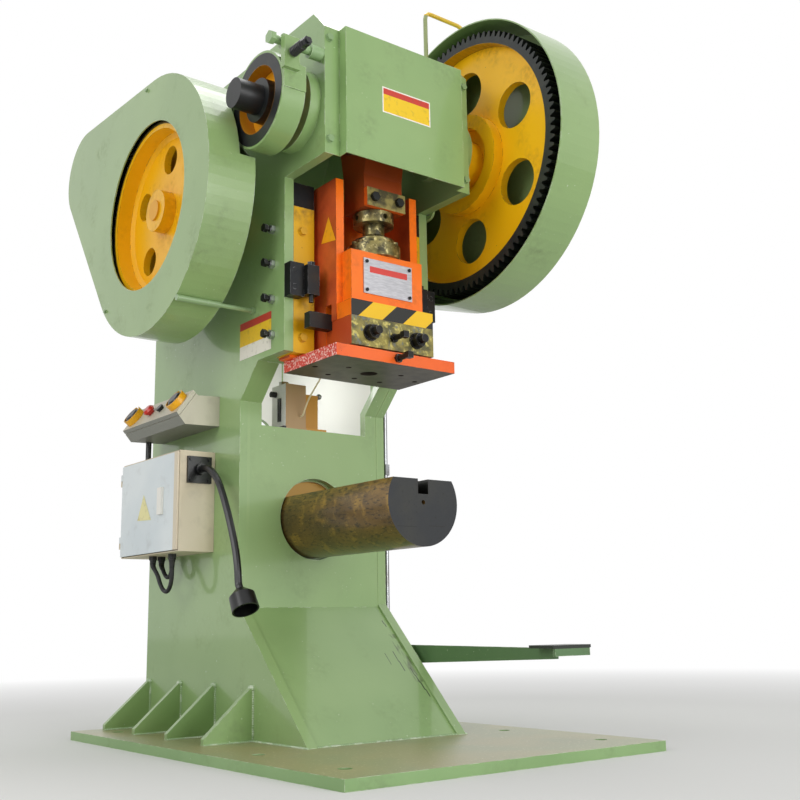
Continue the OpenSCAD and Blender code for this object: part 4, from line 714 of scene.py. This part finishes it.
# the pedal is a darker green, a painted shade; its tread is black and its bar stays green
TREAD_LONG, TREAD_THICK = 0.11, 0.009
pedal_shaded_finish, tree, shader, spot = sprayed_enamel("pedal_shaded_enamel", "#64855A", "#5B7C52",
                                                  "#B8C6A8")
toe, tread_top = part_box("pedal")[0].y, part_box("pedal")[1].z
tread = both(tree, zone(tree, spot, 1, toe - 0.01, toe + TREAD_LONG),
             zone(tree, spot, 2, tread_top - TREAD_THICK, tread_top + 0.01))
retouch(tree, shader, tread, "#262C24")
FINISHES = [
    (base_finish, "base_plate"),
    (frame_green,
     "left_side_plate right_side_plate column_plate slope_plate "
     "rear_plate head_plate"),
    (green, "slide_bed gussets bearing_housings crank_cover brake_strap trip_lever"),
    (dark_steel, "knockout_brackets gib_caps clamp_studs knockout_bar motor_pulley"),
    (anchor_finish, "brake_anchor"), (guard_green, "belt_guard gear_guard"),
    (stay_finish, "guard_stays"), (console_beige, "console"), (pedal_shaded_finish, "pedal"),
    (ram_finish, "ram"), (plate_finish, "ram_plate"), (rod_shaded_orange, "connecting_rod"),
    (cap_finish, "rod_cap"), (gold, "gibs"), (gear_finish, "bull_gear"),
    (flywheel_finish, "flywheel"), (drum_finish, "brake_drum"), (yellow, "button_guards"),
    (bolt_steel, "frame_bolts"), (screw_finish, "ball_retainer adjusting_screw"),
    (horn_finish, "horn"), (clamp_finish, "shank_clamp"), (crank_steel, "crankshaft"),
    (shaft_steel, "pinion_shaft"), (steel, "lever_pivots pull_rod lubricator_lever"),
    (bronze, "bearing_bushes"), (nylon, "oil_pipe"), (motor_grey, "motor"),
    (plate_aluminium, "ram_cover"), (rubber, "drive_belts near_cable far_cable"),
    (lamp_black, "lamp_neck lamp_head"), (cream, "cabinet"),
    (lubricator_cream, "lubricator"), (pale_blue, "cabinet_door"),
    (black_plastic, "left_palm_button right_palm_button start_button console_conduit"),
    (red_plastic, "stop_button"),
]
for finish, names in FINISHES:
    for name in names.split():
        nodes[name].data.materials.clear()
        nodes[name].data.materials.append(finish)
count = sum(len(names.split()) for finish, names in FINISHES)
print("painted", count, "of", len(nodes), "solids")

for item, name in ((near_flex, "near_cable"), (far_flex, "far_cable")):
    item.data.materials.append(rubber)
    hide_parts(name)
    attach(item, "frame")

# %% [markdown]
# Weld beads join the plates of the frame. A bead is a row of small overlapping ripples, so
# Geometry Nodes makes it well: the seam lines are turned into curves, points are set along
# them at an even spacing, and a flattened ball goes on every point, turned along the seam.

# %% A node tree that lays weld beads
def weld_tree():
    tree = bpy.data.node_groups.new("weld_bead", "GeometryNodeTree")
    for name, kind in (("Geometry", "Geometry"), ("Ripple Spacing", "Float"),
                       ("Bead Radius", "Float"), ("Finish", "Material")):
        tree.interface.new_socket(name, in_out="INPUT", socket_type="NodeSocket" + kind)
    tree.interface.new_socket("Geometry", in_out="OUTPUT",
                              socket_type="NodeSocketGeometry")
    given = tree.nodes.new("NodeGroupInput").outputs
    seam = add(tree, "GeometryNodeMeshToCurve", {0: given["Geometry"]})
    spaced = add(tree, "GeometryNodeResampleCurve",
                 {"Curve": seam.outputs[0], "Length": given["Ripple Spacing"]},
                 mode="LENGTH")
    ball = add(tree, "GeometryNodeMeshUVSphere",
               {"Segments": 8, "Rings": 5, "Radius": given["Bead Radius"]})
    smooth = add(tree, "GeometryNodeSetShadeSmooth", {0: ball.outputs[0]})
    along = add(tree, "GeometryNodeInputTangent")
    turn = add(tree, "FunctionNodeAlignEulerToVector", {"Vector": along.outputs[0]},
               axis="X")
    set_out = add(tree, "GeometryNodeInstanceOnPoints",
                  {"Points": spaced.outputs[0], "Instance": smooth.outputs[0],
                   "Rotation": turn.outputs[0], "Scale": (0.75, 1.0, 1.0)})
    solid = add(tree, "GeometryNodeRealizeInstances", {0: set_out.outputs[0]})
    painted = add(tree, "GeometryNodeSetMaterial",
                  {"Geometry": solid.outputs[0], "Material": given["Finish"]})
    add(tree, "NodeGroupOutput", {0: painted.outputs[0]})
    return tree


bead_tree = weld_tree()
print("bead rule has", len(bead_tree.nodes), "nodes")

# %% [markdown]
# The seams run where plates meet: along the foot of each side plate, round the gussets,
# round the rear and under the motor shelf. The front corners are ground flush, and each
# gusset ends in a fatter blob at its tip. Each seam is a chain of points, in millimetres.

# %% Lay the seams
def lay(name, chains, spacing, radius):
    """Turn chains of points into beads on the frame; spacing and radius in metres."""
    mesh = bpy.data.meshes.new(name + "_seams")
    points, edges = [], []
    for chain in chains:
        start = len(points)
        points += [(x / 1000, y / 1000, z / 1000) for x, y, z in chain]
        edges += [(start + i, start + i + 1) for i in range(len(chain) - 1)]
    mesh.from_pydata(points, edges, [])
    source = put(name + "_source", mesh)
    step = source.modifiers.new("rule", "NODES")
    step.node_group = bead_tree
    values = {"Ripple Spacing": spacing, "Bead Radius": radius, "Finish": weld_green}
    for item in bead_tree.interface.items_tree:
        if item.in_out == "INPUT" and item.name in values:
            step[item.identifier] = values[item.name]
    done = source.evaluated_get(bpy.context.evaluated_depsgraph_get())
    result = bpy.data.meshes.new_from_object(done)
    bpy.data.objects.remove(source)
    item = put(name, result)
    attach(item, "frame")
    print(name, "has", len(result.polygons), "faces")


SIDE, INNER, FOOT, BACK, BASE_TOP = 262, 232, -230, 725, 26
COLUMN, SHELF, SHELF_FRONT = FOOT + 8, 1710, 560
GUSSET_OUT, GUSSET_UP, GUSSET_HALF, TIP_UP, TIP_HALF = 145, 136, 8, 140, 9
GUSSET_FIRST, GUSSET_PITCH = 26, 216
GUSSET_Y = [BACK - GUSSET_FIRST - GUSSET_PITCH * i for i in range(4)]
seams = []
for s in (-1, 1):
    seams.append([(s * SIDE, FOOT, BASE_TOP), (s * SIDE, BACK, BASE_TOP)])
    seams.append([(s * INNER, BACK, BASE_TOP), (s * INNER, BACK, SHELF)])
    seams.append([(s * SIDE, SHELF_FRONT, SHELF), (s * SIDE, BACK, SHELF)])
    for y in GUSSET_Y:
        for edge in (y - GUSSET_HALF, y + GUSSET_HALF):
            seams.append([(s * (SIDE + GUSSET_OUT), edge, BASE_TOP),
                          (s * SIDE, edge, BASE_TOP),
                          (s * SIDE, edge, BASE_TOP + GUSSET_UP)])
tips = [[(s * SIDE, y - TIP_HALF, BASE_TOP + TIP_UP),
         (s * SIDE, y + TIP_HALF, BASE_TOP + TIP_UP)]
        for s in (-1, 1) for y in GUSSET_Y]
for y in (COLUMN, BACK):
    seams.append([(-INNER, y, BASE_TOP), (INNER, y, BASE_TOP)])
lay("weld_beads", seams, 0.006, 0.0045)
lay("gusset_tips", tips, 0.005, 0.0085)

# %% [markdown]
# Painted fields are thin stickers or stencilled panels that follow the sheet under them.
# A grid of points is dropped on to the solid along one direction and lifted by less than a
# millimetre, so a field lies on any face, flat or curved, without measuring it first.

# %% Fields that lie on a solid
def piece(name, mesh, finish, body):
    """Put a new mesh into the scene, painted, riding on a body of the press."""
    item = put(name, mesh)
    mesh.materials.append(finish)
    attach(item, body)


def mesh_of(name, points):
    mesh = bpy.data.meshes.new(name)
    points.to_mesh(mesh)
    points.free()
    return mesh


def surface_of(name):
    mesh = nodes[name].data
    return BVHTree.FromPolygons([v.co.copy() for v in mesh.vertices],
                                [list(p.vertices) for p in mesh.polygons])


# how high a field lies over its solid, in metres, and the steps of its grid each way
LIFT, STEPS = 0.0006, 8


def field(name, node, corner, across, up, towards, finish, body):
    surface = surface_of(node)
    corner, across, up, towards = (Vector(v) for v in (corner, across, up, towards))
    mesh, rows = bmesh.new(), []
    layout = mesh.loops.layers.uv.new("UVMap")
    for j in range(STEPS + 1):
        row = []
        for i in range(STEPS + 1):
            start = corner + across * (i / STEPS) + up * (j / STEPS)
            hit = surface.ray_cast(start, towards)[0]
            if hit is None:
                hit = row[-1].co + across / STEPS if row else start
            row.append(mesh.verts.new(hit - towards.normalized() * LIFT))
        rows.append(row)
    for j in range(STEPS):
        for i in range(STEPS):
            quad = (rows[j][i], rows[j][i + 1], rows[j + 1][i + 1], rows[j + 1][i])
            face = mesh.faces.new(quad)
            for loop, (u, v) in zip(face.loops, ((i, j), (i + 1, j), (i + 1, j + 1),
                                                 (i, j + 1))):
                loop[layout].uv = (u / STEPS, v / STEPS)
    mesh.normal_update()
    if mesh.faces[:][0].normal.dot(towards) > 0:
        bmesh.ops.reverse_faces(mesh, faces=mesh.faces[:])
    piece(name, mesh_of(name, mesh), finish, body)


def shape(name, node, corners, towards, finish, body):
    """A flat field with the given corners, dropped on to a solid."""
    surface = surface_of(node)
    towards = Vector(towards).normalized()
    spots = [surface.ray_cast(Vector(c), towards)[0] - towards * LIFT for c in corners]
    if (spots[1] - spots[0]).cross(spots[2] - spots[0]).dot(towards) > 0:
        spots.reverse()
    data = bpy.data.meshes.new(name)
    data.from_pydata(spots, [], [list(range(len(spots)))])
    piece(name, data, finish, body)


def banded(name, bands, border=0.0):
    """bands: list of (upper limit of v, colour), from the bottom edge up."""
    material, tree, shader, spot = begin(name, 0.4)
    at = add(tree, "ShaderNodeSeparateXYZ",
             {0: add(tree, "ShaderNodeTexCoord").outputs["UV"]})
    tone = bands[0][1]
    for (limit, _), (_, shade) in zip(bands, bands[1:]):
        above = both(tree, at.outputs[1], limit, "GREATER_THAN")
        tone = layer(tree, above, tone, shade)
    if border:
        for k, edge in ((0, border), (1, 2.2 * border)):
            out = both(tree, both(tree, at.outputs[k], edge, "LESS_THAN"),
                       both(tree, at.outputs[k], 1 - edge, "GREATER_THAN"), "MAXIMUM")
            tone = layer(tree, out, tone, "#F2EFE4")
    scuff = both(tree, clouds(tree, spot, 14, 0.55, 0.75, 6), 0.35)
    tone = layer(tree, scuff, tone, "#5A5240")
    tree.links.new(tone, shader.inputs["Base Color"])
    return material


cover_field = banded("stencilled_field", [(0.72, "#F0C81E"), (1.0, "#C83A2A")],
                     border=0.022)
side_field = banded("side_field_print", [(0.36, "#E9E4D6"), (0.80, "#E8BE2A"),
                                         (1.0, "#B8382C")])
plain_yellow = banded("plain_yellow_field", [(1.0, "#F0A818")])
door_field = banded("door_field_print", [(1.0, "#E6DFA0")])
field("cover_field", "crank_cover", (-0.088, -0.60, 1.7535), (0.175, 0, 0),
      (0, 0, 0.079), (0, 1, 0), cover_field, "frame")
field("side_field", "left_side_plate", (-0.40, 0.141, 1.102), (0, -0.180, 0),
      (0, 0, 0.112), (1, 0, 0), side_field, "frame")
shape("ram_field", "ram", [(-0.40, -0.162, 1.4846), (-0.40, -0.1246, 1.4127),
                           (-0.40, -0.1985, 1.4035)],
      (1, 0, 0), plain_yellow, "ram")
shape("door_field", "cabinet_door", [(-0.60, 0.5176, 0.7357), (-0.60, 0.5596, 0.6587),
                                     (-0.60, 0.4616, 0.6535)],
      (1, 0, 0), door_field, "door")
print("fields laid")

# %% [markdown]
# Each cable leaves its gland through a short tapered rubber boot that keeps it from
# kinking. The boot is a ring swept along the first stretch of the cable's own route.

# %% Boots at the four glands
# length, radius at the gland and at the cable, all in metres, then the sides of a ring
BOOT_LENGTH, BOOT_BIG, BOOT_SMALL, BOOT_SIDES = 0.026, 0.0092, 0.0068, 16


def join(mesh, rings):
    """Fill the gap between each ring of points and the next."""
    for low, high in zip(rings, rings[1:]):
        for k in range(len(low)):
            after = (k + 1) % len(low)
            mesh.faces.new((low[k], low[after], high[after], high[k]))


def boot(name, route):
    mesh = bmesh.new()
    rings, walked, spots = [], 0.0, [Vector(p) for p in route]
    for i, spot_now in enumerate(spots):
        if i:
            walked += (spot_now - spots[i - 1]).length
        if walked > BOOT_LENGTH:
            break
        ahead = (spots[i + 1] - spot_now).normalized()
        aside = ahead.cross(Vector((1, 0, 0))).normalized()
        radius = BOOT_BIG + (BOOT_SMALL - BOOT_BIG) * walked / BOOT_LENGTH
        rings.append([mesh.verts.new(spot_now + radius * (
            math.cos(a) * aside + math.sin(a) * Vector((1, 0, 0))))
            for a in [math.tau * k / BOOT_SIDES for k in range(BOOT_SIDES)]])
    join(mesh, rings)
    mesh.faces.new(rings[0])
    mesh.faces.new(rings[-1])
    bmesh.ops.recalc_face_normals(mesh, faces=mesh.faces[:])
    data = mesh_of(name, mesh)
    data.shade_smooth()
    piece(name, data, rubber, "frame")


for label, route in (("near", near_route), ("far", far_route)):
    boot(label + "_boot_a", route)
    boot(label + "_boot_b", route[::-1])
print("boots on")

# %% [markdown]
# The lamp on its bent neck has a small frosted bulb. A sphere with a neck is enough,
# because only its lower half shows inside the shade.

# %% The bulb in the lamp
# each ring of the bulb: radius and height, in metres, from the tip up
PROFILE = [(0.0, -0.012), (0.010, -0.010), (0.017, -0.004), (0.019, 0.002),
           (0.014, 0.010), (0.009, 0.0175)]
BULB_SIDES, BULB_SCALE, BULB_TILT = 20, 0.8, math.radians(-30)
BULB_CENTRE = (-0.316, 0.009, 0.3999)


def bulb():
    tilt = Matrix.Rotation(BULB_TILT, 4, "X")
    centre = Matrix.Translation(BULB_CENTRE) @ Matrix.Scale(BULB_SCALE, 4)
    turns = [math.tau * k / BULB_SIDES for k in range(BULB_SIDES)]
    mesh = bmesh.new()
    rings = [[mesh.verts.new((r * math.cos(a), r * math.sin(a), z)) for a in turns]
             for r, z in PROFILE[1:]]
    tip = mesh.verts.new((0, 0, PROFILE[0][1]))
    for k in range(BULB_SIDES):
        mesh.faces.new((tip, rings[0][(k + 1) % BULB_SIDES], rings[0][k]))
    join(mesh, rings)
    mesh.faces.new(rings[-1])
    bmesh.ops.recalc_face_normals(mesh, faces=mesh.faces[:])
    mesh.transform(centre @ tilt)
    data = mesh_of("lamp_bulb", mesh)
    data.shade_smooth()
    material, _, shader, _ = begin("frosted_glass", 0.35)
    shader.inputs["Base Color"].default_value = colour("#B4B1A4")
    piece("lamp_bulb", data, material, "frame")


bulb()
print("bulb in")

# %% [markdown]
# The press stands on a plain pale floor in soft studio light. The big lamps are area
# lights, because a large lamp gives soft edges to shadows. The world is white to the
# camera and to mirrors, and gentler on everything else, so paint shows its own colour.
# A small lamp inside the column stands for the daylight that falls through its windows.

# %% Floor, light and background
# half the floor's width, then where it begins and ends to fade into white, in metres
FLOOR_HALF, FADE_FROM, FADE_TO = 30, 1.9, 5.0


def studio():
    mesh = bpy.data.meshes.new("studio_floor")
    corners = [(x * FLOOR_HALF, y * FLOOR_HALF, 0)
               for x, y in ((-1, -1), (1, -1), (1, 1), (-1, 1))]
    mesh.from_pydata(corners, [], [(0, 1, 2, 3)])
    floor = put("studio_floor", mesh)
    material, tree, shader, spot = begin("pale_floor", 0.9)
    tone = layer(tree, clouds(tree, spot, 3000), "#E4E4E2", "#DFDFDD")
    tree.links.new(tone, shader.inputs["Base Color"])
    # far away the floor turns into the white of the background, so no horizon shows
    spread = add(tree, "ShaderNodeVectorMath", {0: spot}, operation="LENGTH")
    far = add(tree, "ShaderNodeMapRange", {"Value": spread.outputs["Value"],
              "From Min": FADE_FROM, "From Max": FADE_TO})
    seen = add(tree, "ShaderNodeLightPath").outputs["Is Camera Ray"]
    glow = add(tree, "ShaderNodeEmission", {"Color": (1, 1, 1, 1), "Strength": 1.0})
    blend = add(tree, "ShaderNodeMixShader", {0: both(tree, far.outputs[0], seen),
                1: shader.outputs[0], 2: glow.outputs[0]})
    output = next(n for n in tree.nodes if n.type == "OUTPUT_MATERIAL")
    tree.links.new(blend.outputs[0], output.inputs["Surface"])
    floor.data.materials.append(material)
    floor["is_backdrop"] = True

    world = bpy.data.worlds.new("studio_world")
    bpy.context.scene.world = world
    world.use_nodes = True
    tree = world.node_tree
    tree.nodes.clear()
    path = add(tree, "ShaderNodeLightPath")
    seen = both(tree, both(tree, path.outputs["Is Camera Ray"],
                           path.outputs["Is Glossy Ray"], "MAXIMUM"),
                path.outputs["Is Transmission Ray"], "MAXIMUM")
    soft, white = (add(tree, "ShaderNodeBackground",
                       {"Color": (1, 1, 1, 1), "Strength": s}) for s in (0.42, 1.0))
    mixed = add(tree, "ShaderNodeMixShader",
                {0: seen, 1: soft.outputs[0], 2: white.outputs[0]})
    add(tree, "ShaderNodeOutputWorld", {0: mixed.outputs[0]})


def lamp(name, where, target, size, power):
    """An area light that looks at a point: places and size in metres, power in watts."""
    light = bpy.data.lights.new(name, "AREA")
    light.size = size
    light.energy = power
    item = put(name, light)
    item.location = where
    aim = Vector(target) - Vector(where)
    item.rotation_euler = aim.to_track_quat("-Z", "Y").to_euler()
    item.visible_camera = False


studio()
MIDDLE = (0, 0, 1.0)
lamp("key_light", (1.0, -7.5, 1.3), MIDDLE, 3.6, 300)
lamp("left_fill", (-4.5, -0.8, 2.6), MIDDLE, 2.6, 72)
lamp("top_light", (0.2, 0.4, 5.2), MIDDLE, 3.0, 95)
lamp("inside_light", (-0.12, 0.42, 1.1), (0.23, 0.42, 1.1), 0.2, 1.3)
bpy.context.scene.view_settings.view_transform = "Standard"
print("studio lit")

# %% [markdown]
# Last come the two boxes, of the bare solids and of the dressed press. They should agree,
# because nothing that was added may make the machine bigger.

# %% Compare the boxes and finish
dressed_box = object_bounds()
for label, box in (("solids", solid_box), ("dressed", dressed_box)):
    print(label, [[round(v, 4) for v in corner] for corner in box])
